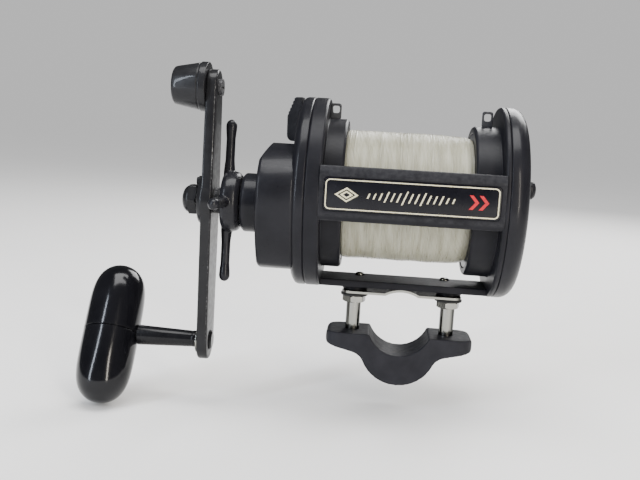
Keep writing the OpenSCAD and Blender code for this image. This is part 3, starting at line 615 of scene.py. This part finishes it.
def build_name_plate():
    """Gloss plate in the name bar's recess with a foil border and an abstract stamped design."""
    front = -PLATE_R
    width, height = PLATE_SIZE
    plate = slab("name_plate_gloss", round_rect(0, PLATE_MID, width, height, 2), "xz",
                 front + 0.05, front + 0.65, 0.15)
    dress(plate, "frame", PLATE, "plate_black", "name_plate")
    border = slab("name_plate_line", round_rect(0, PLATE_MID, width - 1.4, height - 1.4, 2), "xz",
                  front - 0.06, front + 0.08)
    cut(border, slab("hole", round_rect(0, PLATE_MID, width - 2.4, height - 2.4, 1.6), "xz",
                     front - 1, front + 1))
    dress(border, "frame", FOIL, "plate_line", "name_plate_border")
    stamp_design(front)


def stamp_design(front):
    """Abstract marks: nested diamonds, a row of slanted dashes and two red chevrons."""
    low, high, mid = front - 0.05, front + 0.07, PLATE_MID
    centre, squash, stroke = -28, 0.62, 1.3
    for i, size in enumerate((5.2, 2.9)):
        diamond = [(centre, mid - squash * size), (centre + size, mid),
                   (centre, mid + squash * size), (centre - size, mid)]
        shrink = 1 - stroke / size
        inner = [(centre + (u - centre) * shrink, mid + (v - mid) * shrink) for u, v in diamond]
        mark = slab(f"emblem_diamond_{i}", diamond, "xz", low, high)
        cut(mark, slab("inside", inner, "xz", low - 1, high + 1))
        dress(mark, "frame", FOIL, "plate_line")
    count, first, pitch, half = 15, -18.5, 2.6, 0.34
    for i in range(count):
        u = first + pitch * i
        swell = math.sin(math.pi * (i + 0.5) / count)
        reach = 0.9 + swell * (1.5 + 0.6 * math.cos(2.1 * i))
        lean = 0.4 * reach
        dash = [(u - half - lean, mid - reach), (u + half - lean, mid - reach),
                (u + half + lean, mid + reach), (u - half + lean, mid + reach)]
        dress(slab(f"emblem_dash_{i}", dash, "xz", low, high), "frame", FOIL, "plate_line")
    for i in range(2):
        u = 24.4 + 4.2 * i
        chevron = [(u, mid - 3.1), (u + 1.7, mid - 3.1), (u + 4.3, mid), (u + 1.7, mid + 3.1),
                   (u, mid + 3.1), (u + 2.6, mid)]
        dress(slab(f"emblem_chevron_{i}", chevron, "xz", low, high), "frame", RED, "plate_line")


CASE = SPOOL + Vector((0, -19, -6))
CASE_R = 29
CASE_SLOPE_Z = SPOOL.z + 15.5


def case_outline(radius, trim, steps=96):
    """Gear case outline in the Y-Z plane: a circle, held within the side plate's rim."""
    points = []
    for i in range(steps):
        a = 2 * math.pi * i / steps
        y, z = CASE.y + radius * math.cos(a), CASE.z + radius * math.sin(a)
        out = Vector((y - SPOOL.y, z - SPOOL.z))
        if out.length > trim:
            out = out.normalized() * trim
        points.append((out.x + SPOOL.y, out.y + SPOOL.z))
    return points


def slope_cutter():
    """Wedge that takes the case's upper outer corner off on a slant."""
    low = CASE_SLOPE_Z
    outline = [(CASE_X - 5, low - 2), (CASE_X, low), (CASE_X + 8, low + 14.8),
               (CASE_X + 8, low + 40), (CASE_X - 5, low + 40)]
    return slab("slope", outline, "xz", -70, 30)


def build_handle_plate():
    """Handle-side plate: shell, gear case with its slant and the shaft boss."""
    face = FACE_X
    plate = lathe("handle_plate", [
        (SEAM_X, 0), (SEAM_X, PLATE_R - 0.5), (SEAM_X - 0.5, PLATE_R), (SEAM_X - 3.6, PLATE_R),
        (face + 1.6, PLATE_R - 0.6), (face, PLATE_R - 3.2), (face, 0)], SPOOL, 1.2, 160)
    case = slab("case", case_outline(CASE_R, PLATE_R + 0.3), "yz", CASE_X, face + 2, 1.6,
                segments=4)
    cut(case, slope_cutter())
    boss = lathe("boss", [(CASE_X + 1, 0), (CASE_X + 1, 13.5), (BOSS_X + 1.2, 13.5),
                          (BOSS_X, 12.3), (BOSS_X, 0)], SHAFT, 0.5)
    add(plate, case, boss)
    cut(plate, rod(SEAM_X + 1, face + 2.3, CUP_R, SPOOL, 128),
        slab("case_hollow", case_outline(CASE_R - 2.2, PLATE_R - 2), "yz", CASE_X + 7, face + 4),
        rod(CASE_X + 8, CASE_X + 2.2, 16.5, SHAFT),
        rod(CASE_X + 3, BOSS_X - 1, 6.5, SHAFT),
        rod(face + 4, face - 1, 3.05, LEVER),
        *[rod(face + 1.8, face - 1, SCREW_HEAD_R, c, 40) for c in HANDLE_SCREWS])
    dress(plate, "frame", SIDE, "side_black", "handle_side_plate")


def build_tail_plate():
    """Tail-side plate: domed shell with a stepped ring, screw pockets and the click slot."""
    edge = TAIL_SEAM_X
    shell = [(edge, CUP_R), (edge, PLATE_R - 0.4), (edge + 0.4, PLATE_R)]
    shell += arc((edge + 2.6, PLATE_R - 6.3), 6.3, 90, 10, 14)
    shell += [(TAIL_X - 0.7, 31), (TAIL_X - 0.7, 30), (TAIL_X - 1.1, 29.4), (TAIL_X - 0.3, 28.6),
              (TAIL_X, 16), (TAIL_X, 7.5), (edge - 4, 7.5), (edge - 4, 6.2), (edge - 4.8, 6.2),
              (edge - 4.8, 9), (TAIL_X - 2.4, 9), (TAIL_X - 2.9, 28)]
    shell += arc((edge + 2.6, PLATE_R - 7.4), 5, 10, 90, 8)
    plate = lathe("tail_plate", shell, SPOOL, 0.7, 160)
    start = Vector((middle("click_button", 1), middle("click_button", 2)))
    way = Vector(joint("click_slide")["axis"][1:])
    travel = joint("click_slide")["range_m"][1] / MM
    end_room, side = 1.7, Vector((-way.y, way.x)) * 1.8
    near, far = start - way * end_room, start + way * (travel + end_room)
    slot = [near + side, far + side, far - side, near - side]
    cut(plate, slab("slot", [tuple(p) for p in slot], "yz", TAIL_X - 6, TAIL_X + 2, soft=1.4),
        *[rod(TAIL_X - 2.4, TAIL_X + 2, TAIL_HEAD_R, c, 40) for c in TAIL_SCREWS])
    dress(plate, "frame", SIDE, "side_black", "tail_side_plate")


def build_lugs():
    """Squared harness lugs standing on the frame's shoulders."""
    foot = SPOOL.z + SHOULDER_R - 0.4
    opening = 3.4
    for side in ("left", "right"):
        name = f"harness_lug_{side}"
        low, high = span(name)
        top = span(name, 2)[1]
        hole = mount(name)["pos_m"][2] / MM
        lug = slab(f"harness_loop_{side}",
                   round_rect(middle(name), (foot + top) / 2, high - low, top - foot, 1.2), "xz",
                   -0.9, 0.9, 0.3)
        cut(lug, slab("opening", round_rect(middle(name), hole, opening, opening, 1.1), "xz",
                      -2, 2))
        dress(lug, "frame", DARK_STEEL, "dark_steel", name)


# ------------------------------------------------------------------ spool and line

LINE_LOW, LINE_HIGH = span("line")
LINE_R = (span("line", 2)[1] - span("line", 2)[0]) / 2 - 0.1
ARBOR_R = 13.02
LINE_PITCH = 0.62
STRAND_R = 0.31


def line_fall(x):
    """How far the pack's surface drops towards the tail side."""
    start, depth = 8, 0.9
    return max(0.0, (x - start) / (LINE_HIGH - start)) ** 2 * depth


def line_surface(x, a):
    """Radius of the pack's top layer at x and angle a: helical turns, crowned ends, uneven lay."""
    phase = (x - LINE_LOW) / LINE_PITCH - a / (2 * math.pi)
    wave = abs(math.cos(math.pi * phase))
    crown = min(1.0, (x - LINE_LOW) / 1.2, (LINE_HIGH - x) / 3.2) ** 0.5
    drift = 0.22 * math.sin(x * 0.42) * math.sin(a + x * 0.11)
    return (LINE_R - STRAND_R * 2 + STRAND_R * wave * 0.9 + (crown - 1) * 1.3 + drift * 0.6
            - line_fall(x) + 0.2)


def build_line():
    """Line pack whose surface is the top layer of helical turns, with a few crossing turns."""
    sides, rings_per_turn, inset = 168, 6, 0.05
    width = LINE_HIGH - LINE_LOW
    steps = int((width - 0.8) / LINE_PITCH) * rings_per_turn
    rows = [(LINE_LOW, ARBOR_R)]
    rows += [(LINE_LOW + inset + (width - 2 * inset) * i / steps, None) for i in range(steps + 1)]
    rows += [(LINE_HIGH, ARBOR_R)]
    verts = []
    for x, fixed in rows:
        for s in range(sides):
            a = 2 * math.pi * s / sides
            r = fixed or line_surface(x, a)
            verts.append((x, r * math.cos(a), r * math.sin(a)))
    pack = make("wound_line", verts, tube_faces(len(rows), sides, closed=True),
                Matrix.Translation(SPOOL))
    dress(pack, "spool", LINE, "line_mono", "line", angle=80)
    for k in range(7):
        dress(crossing_turn(k), "spool", LINE, "line_mono", angle=80)


def crossing_turn(k):
    """One strand that runs across the others, with both ends dipping into the pack."""
    start = LINE_LOW + 5 + k * 6.3
    drift = 9 if k % 2 else -4
    steps = 240
    path = []
    for i in range(steps + 1):
        t = i / steps
        x = start + drift * t
        a = 2 * math.pi * (1.6 * t + k * 0.37)
        dip = 0.5 * (1 - min(1.0, 12 * min(t, 1 - t)))
        r = LINE_R - 0.32 - dip - line_fall(x)
        path.append((x, r * math.cos(a), SPOOL.z + r * math.sin(a)))
    return wire(f"crossing_turn_{k}", path, 0.3, sides=8)


# ------------------------------------------------------------------ crank, star and grip

HUB_R = 10.5
STEM_R = 3
COUNTER_SCREW_R = 2


def tapered_outline(hub, end, distance, sign):
    """Outline of one arm in (y, z): part of the hub's and of the end's circle, with tangents."""
    lean = math.degrees(math.asin((hub - end) / distance))
    tip = arc((0, distance), end, lean, 180 - lean, 20)
    root = arc((0, 0), hub, 180 - lean, 360 + lean, 20)
    return [(u, sign * v) for u, v in tip + root]


def build_arm():
    """Flat handle arm with a raised hub, its tips rounded like the boss ends."""
    up, down = COUNTER_Z - SHAFT.z, SHAFT.z - STEM.z
    arm = slab("handle_arm_forged", tapered_outline(HUB_R, 8.9, down, -1), "yz", ARM_OUT, ARM_IN,
               0.9, SHAFT)
    upper = slab("upper", tapered_outline(HUB_R, 8, up, 1), "yz", ARM_OUT, ARM_IN, 0.9, SHAFT)
    hub = lathe("hub", [(ARM_IN, 0), (ARM_IN, 12), (ARM_OUT, 12), (HUB_OUT, 10.6), (HUB_OUT, 0)],
                SHAFT, 0.8)
    add(arm, upper, hub)
    cut(arm, rod(ARM_IN + 1, HUB_OUT - 1, 3.5, SHAFT),
        rod(ARM_IN + 1, ARM_OUT - 1, COUNTER_SCREW_R, Vector((0, SHAFT.y, COUNTER_Z)), 40),
        rod(ARM_IN + 1, ARM_OUT - 1, STEM_R, STEM, 40))
    dress(arm, "crank", ARM_BLACK, "arm_black", "handle_arm")


def build_counterweight():
    """Turned counterweight: collar, groove, taper and a dished end."""
    centre = Vector((0, SHAFT.y, COUNTER_Z))
    out = ARM_OUT
    weight = lathe("counterweight_turned", [
        (out, 0), (out, 11.2), (out - 3.2, 11.2), (out - 3.4, 10.5), (out - 3.9, 10.5),
        (out - 4.1, 10.7), (out - 13.6, 8.9), (out - 15.2, 8.5), (out - 16, 7.4),
        (out - 16, 5.6), (out - 15.4, 5.1), (out - 15.4, 0)], centre, 0.35)
    cut(weight, rod(out + 1, out - 8, COUNTER_SCREW_R, centre, 40))
    dress(weight, "crank", ARM_BLACK, "arm_black", "counterweight")


def build_handle_nut():
    """Chamfered hexagon nut with a domed end."""
    nut = span("handle_nut")[1]
    piece = slab("handle_nut_cap", hexagon(7.6), "yz", nut - 4, nut, centre=SHAFT)
    keep(piece, lathe("chamfer", [(nut + 0.5, 0), (nut + 0.5, 6.4), (nut - 0.6, 7.5),
                                  (nut - 3.4, 7.5), (nut - 4.6, 6.2), (nut - 4.6, 0)], SHAFT, 0))
    dome = lathe("dome", [(nut - 3, 0), (nut - 3, 6.3), (nut - 4.8, 6.2), (nut - 6.2, 5),
                          (nut - 7.1, 2.8), (nut - 7.4, 0)], SHAFT, 0.9)
    add(piece, dome)
    cut(piece, rod(nut + 1, HUB_OUT - 5.6, 3.52, SHAFT))
    dress(piece, "crank", ARM_BLACK, "arm_black", "handle_nut")


def build_stem():
    """Grip stem: riveted in the arm, flaring towards the grip, with a head at its end."""
    a, out = ARM_IN, ARM_OUT
    end = span("handle_stem")[0]
    stem = lathe("grip_stem", [
        (a + 1.2, 0), (a + 1.2, 3.4), (a + 0.5, 4.6), (a, 4.6), (a, STEM_R), (out - 1.2, STEM_R),
        (out - 1.2, 3.7), (out - 3, 3.9), (out - 3.4, 3.7), (out - 4, 3.8),
        (out - 29.4, 4.75), (out - 29.4, STEM_R), (end + 1.6, STEM_R), (end + 1.6, 4.6),
        (end, 4.6), (end, 0)], STEM, 0.3)
    dress(stem, "crank", STEM_BLACK, "stem_black", "handle_stem")
    washer = lathe("stem_shim", [(out, 3.02), (out, 6.2), (out - 1.15, 6.2), (out - 1.15, 3.02)],
                   STEM, 0.25)
    dress(washer, "crank", CHROME, "chrome", "stem_washer")


def build_grip():
    """Torpedo grip in two halves, leaning on its stem, with a fine parting groove."""
    radius = (span("grip_upper")[1] - span("grip_upper")[0]) / 2
    x = middle("grip_upper")
    length, tilt, steps = 34, math.radians(-33), 24
    turn = Matrix.Rotation(tilt, 4, "X") @ STAND_UP
    centre = Vector((x, STEM.y, STEM.z))
    head = span("handle_stem")[0]
    for name, sign in (("upper", 1), ("lower", -1)):
        path = [(0.02 * sign, 0), (0.02 * sign, radius - 0.45), (0.35 * sign, radius)]
        for i in range(1, steps):
            t = math.sin(math.radians(90 * i / steps))
            path.append((length * t * sign, radius * math.sqrt(1 - t ** 5)))
        path.append((length * sign, 0))
        piece = lathe(f"grip_{name}_half", path, centre, 0, 112, matrix=turn)
        cut(piece, rod(x - 20, x + 20, STEM_R + 0.05, STEM),
            rod(head - 0.6, head + 2.2, 4.9, STEM))
        dress(piece, "grip", GRIP_BLACK, "grip_black", f"grip_{name}", angle=50)


SPOKES = 4
STAR_LEAN = -3
TIP_R = 2.6


def build_star():
    """Cast star: dished hub with round spokes, blended by a fine remesh."""
    inner, outer_hub = span("star_wheel")[1], span("star_wheel")[0]
    top = span("star_wheel", 2)[1] - SHAFT.z
    reach = TIP_R + (top - TIP_R) / math.cos(math.radians(STAR_LEAN))
    star = lathe("star_cast", [
        (inner, 0), (inner, 11.5), (inner - 1.5, 13.4), (inner - 4, 14), (inner - 6.8, 14),
        (outer_hub, 12.6), (outer_hub, 9), (outer_hub + 0.7, 8.2), (outer_hub + 0.7, 0)],
        SHAFT, 0.8)
    for k in range(SPOKES):
        turn = Matrix.Rotation(math.radians(STAR_LEAN + 360 / SPOKES * k), 4, "X") @ STAND_UP
        spoke = lathe("spoke", [(8, 0), (8, 2.7), (14, 2.6), (19, 2.15), (reach - 9, 2.1),
                                (reach - 4.5, 2.5), (reach - 2.4, TIP_R), (reach - 0.7, 1.7),
                                (reach, 0)],
                      SHAFT + Vector((outer_hub + 2, 0, 0)), 1.2, 48, matrix=turn)
        add(star, spoke)
    cast(star, 0.36, 6)
    cut(star, rod(inner + 1, outer_hub + 0.5, 5, SHAFT), rod(inner, outer_hub - 1, 4.1, SHAFT))
    dress(star, "star", STAR_BLACK, "star_black", "star_wheel", angle=50)


# ------------------------------------------------------------------ controls

def build_lever():
    """Freespool lever: hub, leaning arm and a ridged thumb pad."""
    face = FACE_X
    lean = math.radians(19)
    outline = [(u * math.cos(lean) - v * math.sin(lean), u * math.sin(lean) + v * math.cos(lean))
               for u, v in tapered_outline(5.6, 5, 24, 1)]
    lever = slab("thumb_lever", outline, "yz", face - 3, face - 0.3, 0.5, LEVER)
    hub = lathe("hub", [(face - 0.3, 0), (face - 0.3, 6), (face - 3.6, 6), (face - 4.2, 5.2),
                        (face - 4.2, 0)], LEVER, 0.5, 64)
    centre = Vector((0, LEVER.y, LEVER.z))
    pad = slab("pad", [(face + 2, 13.5), (face - 5.4, 13.8), (face - 6.8, 15.6), (face - 7, 26),
                       (face - 3.8, 34.6), (face + 2, 34.8)],
               "xz", -16, -2, 0.5, centre, soft=1.1)
    cut(pad, slab("clearance", [(face - 0.3, 0), (face + 9, 0), (face + 9, 50), (face - 0.3, 50)],
                  "xz", -30, 10, centre=centre))
    add(lever, hub, pad)
    grooves = [slab("groove", arc((face - 6.9 + i * 0.62, 26.6 + i * 1.65), 0.45, 0, 345, 15), "xz",
                    -20, 2, centre=centre) for i in range(5)]
    cut(lever, *grooves)
    dress(lever, "freespool_lever", LEVER_BLACK, "lever_black", "freespool_lever")


def build_cap():
    """Spool tension cap with a fluted rim and a coin slot."""
    count, depth, rim = 24, 0.45, 8.4

    def flutes(angle, r):
        return -depth * (0.5 + 0.5 * math.cos(count * angle)) ** 2 if r > rim else 0

    cap = lathe("tension_cap", [
        (TAIL_SEAM_X + 1.6, 0), (TAIL_SEAM_X + 1.6, 7.45), (TAIL_X + 0.4, 7.45),
        (TAIL_X + 0.4, 9.2), (TAIL_X + 2.7, 9.4), (TAIL_X + 3.5, 8.3), (TAIL_X + 3.5, 6),
        (TAIL_X + 3, 5.5), (TAIL_X + 3, 0)], SPOOL, 0.35, 192, flutes)
    slot = slab("slot", [(-6.5, -0.9), (6.5, -0.9), (6.5, 0.9), (-6.5, 0.9)], "yz",
                TAIL_X + 2.1, TAIL_X + 5, centre=SPOOL)
    cut(cap, slot, rod(TAIL_SEAM_X, TAIL_SEAM_X + 4.5, 4, SPOOL))
    dress(cap, "bearing_cap", LEVER_BLACK, "lever_black", "bearing_cap")


def build_click_button():
    """Round click button with three grip grooves across its face."""
    centre = Vector((0, middle("click_button", 1), middle("click_button", 2)))
    button = lathe("click_slider", [
        (TAIL_X + 0.4, 0), (TAIL_X + 0.4, 4.4), (TAIL_X + 3.6, 4.2), (TAIL_X + 4.8, 3.2),
        (TAIL_X + 5.3, 1.6), (TAIL_X + 5.5, 0)], centre, 0.5, 64)
    grooves = [rod_y(TAIL_X + 5.7, 8, 0.55, centre + Vector((0, 0, k * 1.7))) for k in (-1, 0, 1)]
    cut(button, *grooves, rod(TAIL_X, TAIL_X + 3, 1.2, centre, 32))
    dress(button, "clicker", LEVER_BLACK, "lever_black", "click_button")


# ------------------------------------------------------------------ foot and clamp

def build_strap():
    """Stainless strap whose arch follows the rod, with rounded ends."""
    half, width, outer = 28.5, span("foot_strap", 1)[1], ROD_R + STRAP_T
    a = math.degrees(math.asin(STRAP_LOW / ROD_R))
    b = math.degrees(math.asin((STRAP_LOW + STRAP_T) / outer))
    outline = ([(-half, STRAP_LOW + STRAP_T), (-half, STRAP_LOW)]
               + arc((0, 0), ROD_R, 180 - a, a, 24)
               + [(half, STRAP_LOW), (half, STRAP_LOW + STRAP_T)]
               + arc((0, 0), outer, b, 180 - b, 24))
    strap = slab("foot_strap_bent", outline, "xz", -width, width, soft=0.35)
    keep(strap, slab("plan", round_rect(0, 0, 2 * half, 2 * width, 4), "xy", 0, 40))
    cut(strap, *[post(0, 40, 2.5, Vector((s * STUD_X, 0, 0))) for s in (-1, 1)])
    dress(strap, "frame", CHROME, "chrome", "foot_strap")


def build_studs():
    """Smooth studs with threaded ends, chamfered hex nuts and dark washers."""
    low, top = span("clamp_studs", 2)
    neck = span("stud_nuts", 2)[0]
    washer_low = span("stud_washers", 2)[0]
    washer_step = 1.15
    for name, s in (("left", -1), ("right", 1)):
        centre = Vector((s * STUD_X, 0, 0))
        stud = upright(f"stud_{name}", [
            (low, 0), (low, 2.1), (low + 0.4, 2.5), (low + 2.6, 2.5), (low + 2.6, 3.3),
            (low + 2.9, 3.5), (neck - 0.2, 3.5), (neck, 3.3), (neck, 2.5), (top - 0.4, 2.5),
            (top, 2.1), (top, 0)], centre, 0.15)
        dress(stud, "frame", CHROME, "chrome")
        nut = hex_nut(f"stud_nut_{name}", centre, neck, 3.2, 5.77, 2.5)
        dress(nut, "frame", CHROME, "chrome")
        for i in (0, 1):
            z, r = washer_low + i * washer_step, 6.6 - i * 0.5
            ring = upright(f"stud_washer_{name}_{i}", [
                (z, 2.5), (z, r), (z + washer_step - 0.03, r), (z + washer_step - 0.03, 2.5)],
                centre, 0.3)
            dress(ring, "frame", RUBBER, "rubber_black")
            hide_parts("stud_washers")
        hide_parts("clamp_studs")
        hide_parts("stud_nuts")
        low_nut = span(f"clamp_nut_{name}", 2)[0]
        lower = hex_nut(f"clamp_hex_{name}", centre, low_nut, 2.4, 5, 2.55)
        dress(lower, f"clamp_nut_{name}", CHROME, "chrome", f"clamp_nut_{name}")


def hex_nut(name, centre, low, height, radius, bore):
    """Hexagon nut with chamfered corners and a bore."""
    nut = slab(name, hexagon(radius, 15), "xy", low, low + height, centre=centre)
    flat = radius * 0.88
    keep(nut, upright("chamfer", [
        (low - 0.2, 0), (low - 0.2, flat - 0.3), (low + 0.5, radius), (low + height - 0.5, radius),
        (low + height + 0.2, flat - 0.3), (low + height + 0.2, 0)], centre, 0))
    return cut(nut, post(low - 1, low + height + 1, bore, centre))


def build_foot_screws():
    """Slotted screws that hold the strap up to the base bar."""
    head_r = 2.4
    bottom = span("foot_screws", 2)[0]
    for name, s in (("left", -1), ("right", 1)):
        centre = Vector((s * (span("foot_screws")[1] - head_r), middle("foot_screws", 1), 0))
        screw = upright(f"foot_screw_{name}", [
            (bottom, 0), (bottom, 1.2), (BASE_TOP, 1.2), (BASE_TOP, head_r), (BASE_TOP + 0.7, 2.3),
            (BASE_TOP + 1.2, 1.6), (BASE_TOP + 1.45, 0)], centre, 0.35)
        cut(screw, slab("slot", [(-3, -0.3), (3, -0.3), (3, 0.3), (-3, 0.3)], "xy",
                        BASE_TOP + 0.8, BASE_TOP + 3, centre=centre))
        dress(screw, "frame", CHROME, "chrome", "foot_screws")


BELLY_R = 18.5
BELLY_Z = -11.5
SADDLE_TOP = -5.8


def ear_outline():
    """Right ear of the clamp in (x, z), and the angle on the belly's circle where it starts.

    It runs along the fillet out of the belly, the sloping underside and the rounded tip.
    """
    top, tip_z, corner, fillet = SADDLE_TOP, -12.4, 2, 8
    tip_x = span("rod_clamp")[1] - corner
    slope = math.radians(13)
    rise = math.tan(slope)
    reach = BELLY_R + fillet
    drop = tip_z - tip_x * rise - fillet / math.cos(slope) - BELLY_Z
    spread = 1 + rise * rise
    fx = (math.sqrt(reach * reach * spread - drop * drop) - rise * drop) / spread
    centre = (fx, BELLY_Z + drop + rise * fx)
    start = math.degrees(math.atan2(BELLY_Z - centre[1], -fx))
    return (arc(centre, fillet, start, 90 + math.degrees(slope), 12)
            + arc((tip_x, tip_z + corner), corner, -90, 0)
            + arc((tip_x, top - corner), corner, 0, 90)), start


def build_clamp():
    """Cast saddle with sloping ears, deep belly and counterbored stud holes."""
    ear, start = ear_outline()
    lip = math.degrees(math.asin(-SADDLE_TOP / ROD_R))
    belly = arc((0, BELLY_Z), BELLY_R, 360 - start, start + 180, 48)
    saddle = arc((0, 0), ROD_R, -lip, -180 + lip, 40)
    outline = belly + ear + saddle + [(-u, v) for u, v in reversed(ear)]
    half, width = span("rod_clamp")[1], span("rod_clamp", 1)[1]
    clamp = slab("saddle_clamp", outline, "xz", -width, width, soft=0.6)
    keep(clamp, slab("plan", round_rect(0, 0, 2 * half, 2 * width, 7), "xy", -60, 10))
    cast(clamp, 0.5, 5)
    for s in (-1, 1):
        centre = Vector((s * STUD_X, 0, 0))
        cut(clamp, post(-40, 10, 3.6, centre), post(-40, -9.3, 5.7, centre))
    dress(clamp, "rod_clamp", CLAMP_BLACK, "clamp_black", "rod_clamp", angle=50)


# ------------------------------------------------------------------ stage

FLOOR_COLOUR = (0.82, 0.81, 0.795)
WORLD_COLOUR = (0.97, 0.98, 1.0)
WORLD_LIGHT = 0.8
REFLECTED_LIGHT = 0.1
HORIZON_MATCH = 0.9925


def area_light(name, place, target, size, power, colour=(1, 1, 1)):
    """Rectangular light at place, in metres, turned towards target."""
    data = bpy.data.lights.new(name, "AREA")
    data.shape = "RECTANGLE"
    data.size, data.size_y = size
    data.energy = power
    data.color = colour
    light = bpy.data.objects.new(name, data)
    light.location = place
    light.rotation_euler = (Vector(target) - Vector(place)).to_track_quat("-Z", "Y").to_euler()
    bpy.context.scene.collection.objects.link(light)


def build_stage():
    """Pale floor just under the reel, with the world and the lights around it."""
    size = 12
    mesh = bpy.data.meshes.new("floor")
    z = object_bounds()[0].z - 0.001
    mesh.from_pydata([(-size, -size, z), (size, -size, z), (size, size, z), (-size, size, z)], [],
                     [(0, 1, 2, 3)])
    floor = bpy.data.objects.new("floor", mesh)
    bpy.context.scene.collection.objects.link(floor)
    s = Shader("floor_paper")
    shade = tuple(c * 0.985 for c in FLOOR_COLOUR)
    s.link(s.mix(s.ramp(s.noise(60, 3), 0.3, 0.7, 0, 1), shade, FLOOR_COLOUR),
           s.out.inputs["Base Color"])
    s.out.inputs["Roughness"].default_value = 0.9
    s.out.inputs["Specular IOR Level"].default_value = 0.0
    mesh.materials.append(s.material)
    build_world()
    target = (-0.03, 0, 0.05)
    area_light("left_strip", (-0.62, -0.62, 0.32), target, (0.06, 0.9), 7, (0.80, 0.88, 1))
    area_light("right_strip", (0.42, -0.80, 0.30), target, (0.08, 0.9), 8, (1, 0.93, 0.82))
    area_light("top", (0.0, -0.1, 0.95), target, (0.8, 0.5), 12)
    area_light("back", (0.3, 0.8, 0.6), target, (0.5, 0.5), 8)


def build_world():
    """World that meets the floor at the horizon, lights evenly and stays dim in reflections."""
    world = bpy.data.worlds.new("studio")
    world.use_nodes = True
    world.cycles.sampling_method = "NONE"
    tree = world.node_tree
    path = tree.nodes.new("ShaderNodeLightPath")
    light = tree.nodes["Background"]
    light.inputs["Color"].default_value = (*WORLD_COLOUR, 1)
    light.inputs["Strength"].default_value = WORLD_LIGHT
    dim = tree.nodes.new("ShaderNodeBackground")
    dim.inputs["Color"].default_value = (*WORLD_COLOUR, 1)
    dim.inputs["Strength"].default_value = REFLECTED_LIGHT
    horizon = tree.nodes.new("ShaderNodeBackground")
    met = [HORIZON_MATCH * a * b for a, b in zip(FLOOR_COLOUR, WORLD_COLOUR)]
    horizon.inputs["Color"].default_value = (*met, 1)
    horizon.inputs["Strength"].default_value = WORLD_LIGHT
    glossy = tree.nodes.new("ShaderNodeMixShader")
    tree.links.new(path.outputs["Is Glossy Ray"], glossy.inputs[0])
    tree.links.new(light.outputs[0], glossy.inputs[1])
    tree.links.new(dim.outputs[0], glossy.inputs[2])
    seen = tree.nodes.new("ShaderNodeMixShader")
    tree.links.new(path.outputs["Is Camera Ray"], seen.inputs[0])
    tree.links.new(glossy.outputs[0], seen.inputs[1])
    tree.links.new(horizon.outputs[0], seen.inputs[2])
    tree.links.new(seen.outputs[0], tree.nodes["World Output"].inputs["Surface"])
    bpy.context.scene.world = world


VIEW_ANGLES = (3.73, 8.06, 3.26)
VIEW_PLACE = SPOOL + Vector((-14.69, -407.5, 34.34))
LENS_MM = 47.5


def build_camera():
    """Camera at the viewing angle that the reel was solved for: azimuth, elevation and roll."""
    azimuth, elevation, roll = map(math.radians, VIEW_ANGLES)
    back = Vector((math.sin(azimuth) * math.cos(elevation),
                   -math.cos(azimuth) * math.cos(elevation), math.sin(elevation)))
    right = Vector((math.cos(azimuth), math.sin(azimuth), 0))
    up = back.cross(right)
    across = right * math.cos(roll) + up * math.sin(roll)
    above = up * math.cos(roll) - right * math.sin(roll)
    data = bpy.data.cameras.new("camera")
    data.lens = LENS_MM
    data.sensor_width = 36
    data.clip_start = 0.01
    camera = bpy.data.objects.new("camera", data)
    place = VIEW_PLACE * MM
    camera.matrix_world = Matrix((
        (across.x, above.x, back.x, place.x), (across.y, above.y, back.y, place.y),
        (across.z, above.z, back.z, place.z), (0, 0, 0, 1)))
    bpy.context.scene.collection.objects.link(camera)
    bpy.context.scene.camera = camera


dress_cad_nodes()
build_frame()
build_name_plate()
build_handle_plate()
build_tail_plate()
build_lugs()
build_line()
build_arm()
build_counterweight()
build_handle_nut()
build_stem()
build_grip()
build_star()
build_lever()
build_cap()
build_click_button()
build_strap()
build_studs()
build_foot_screws()
build_clamp()
build_stage()
build_camera()
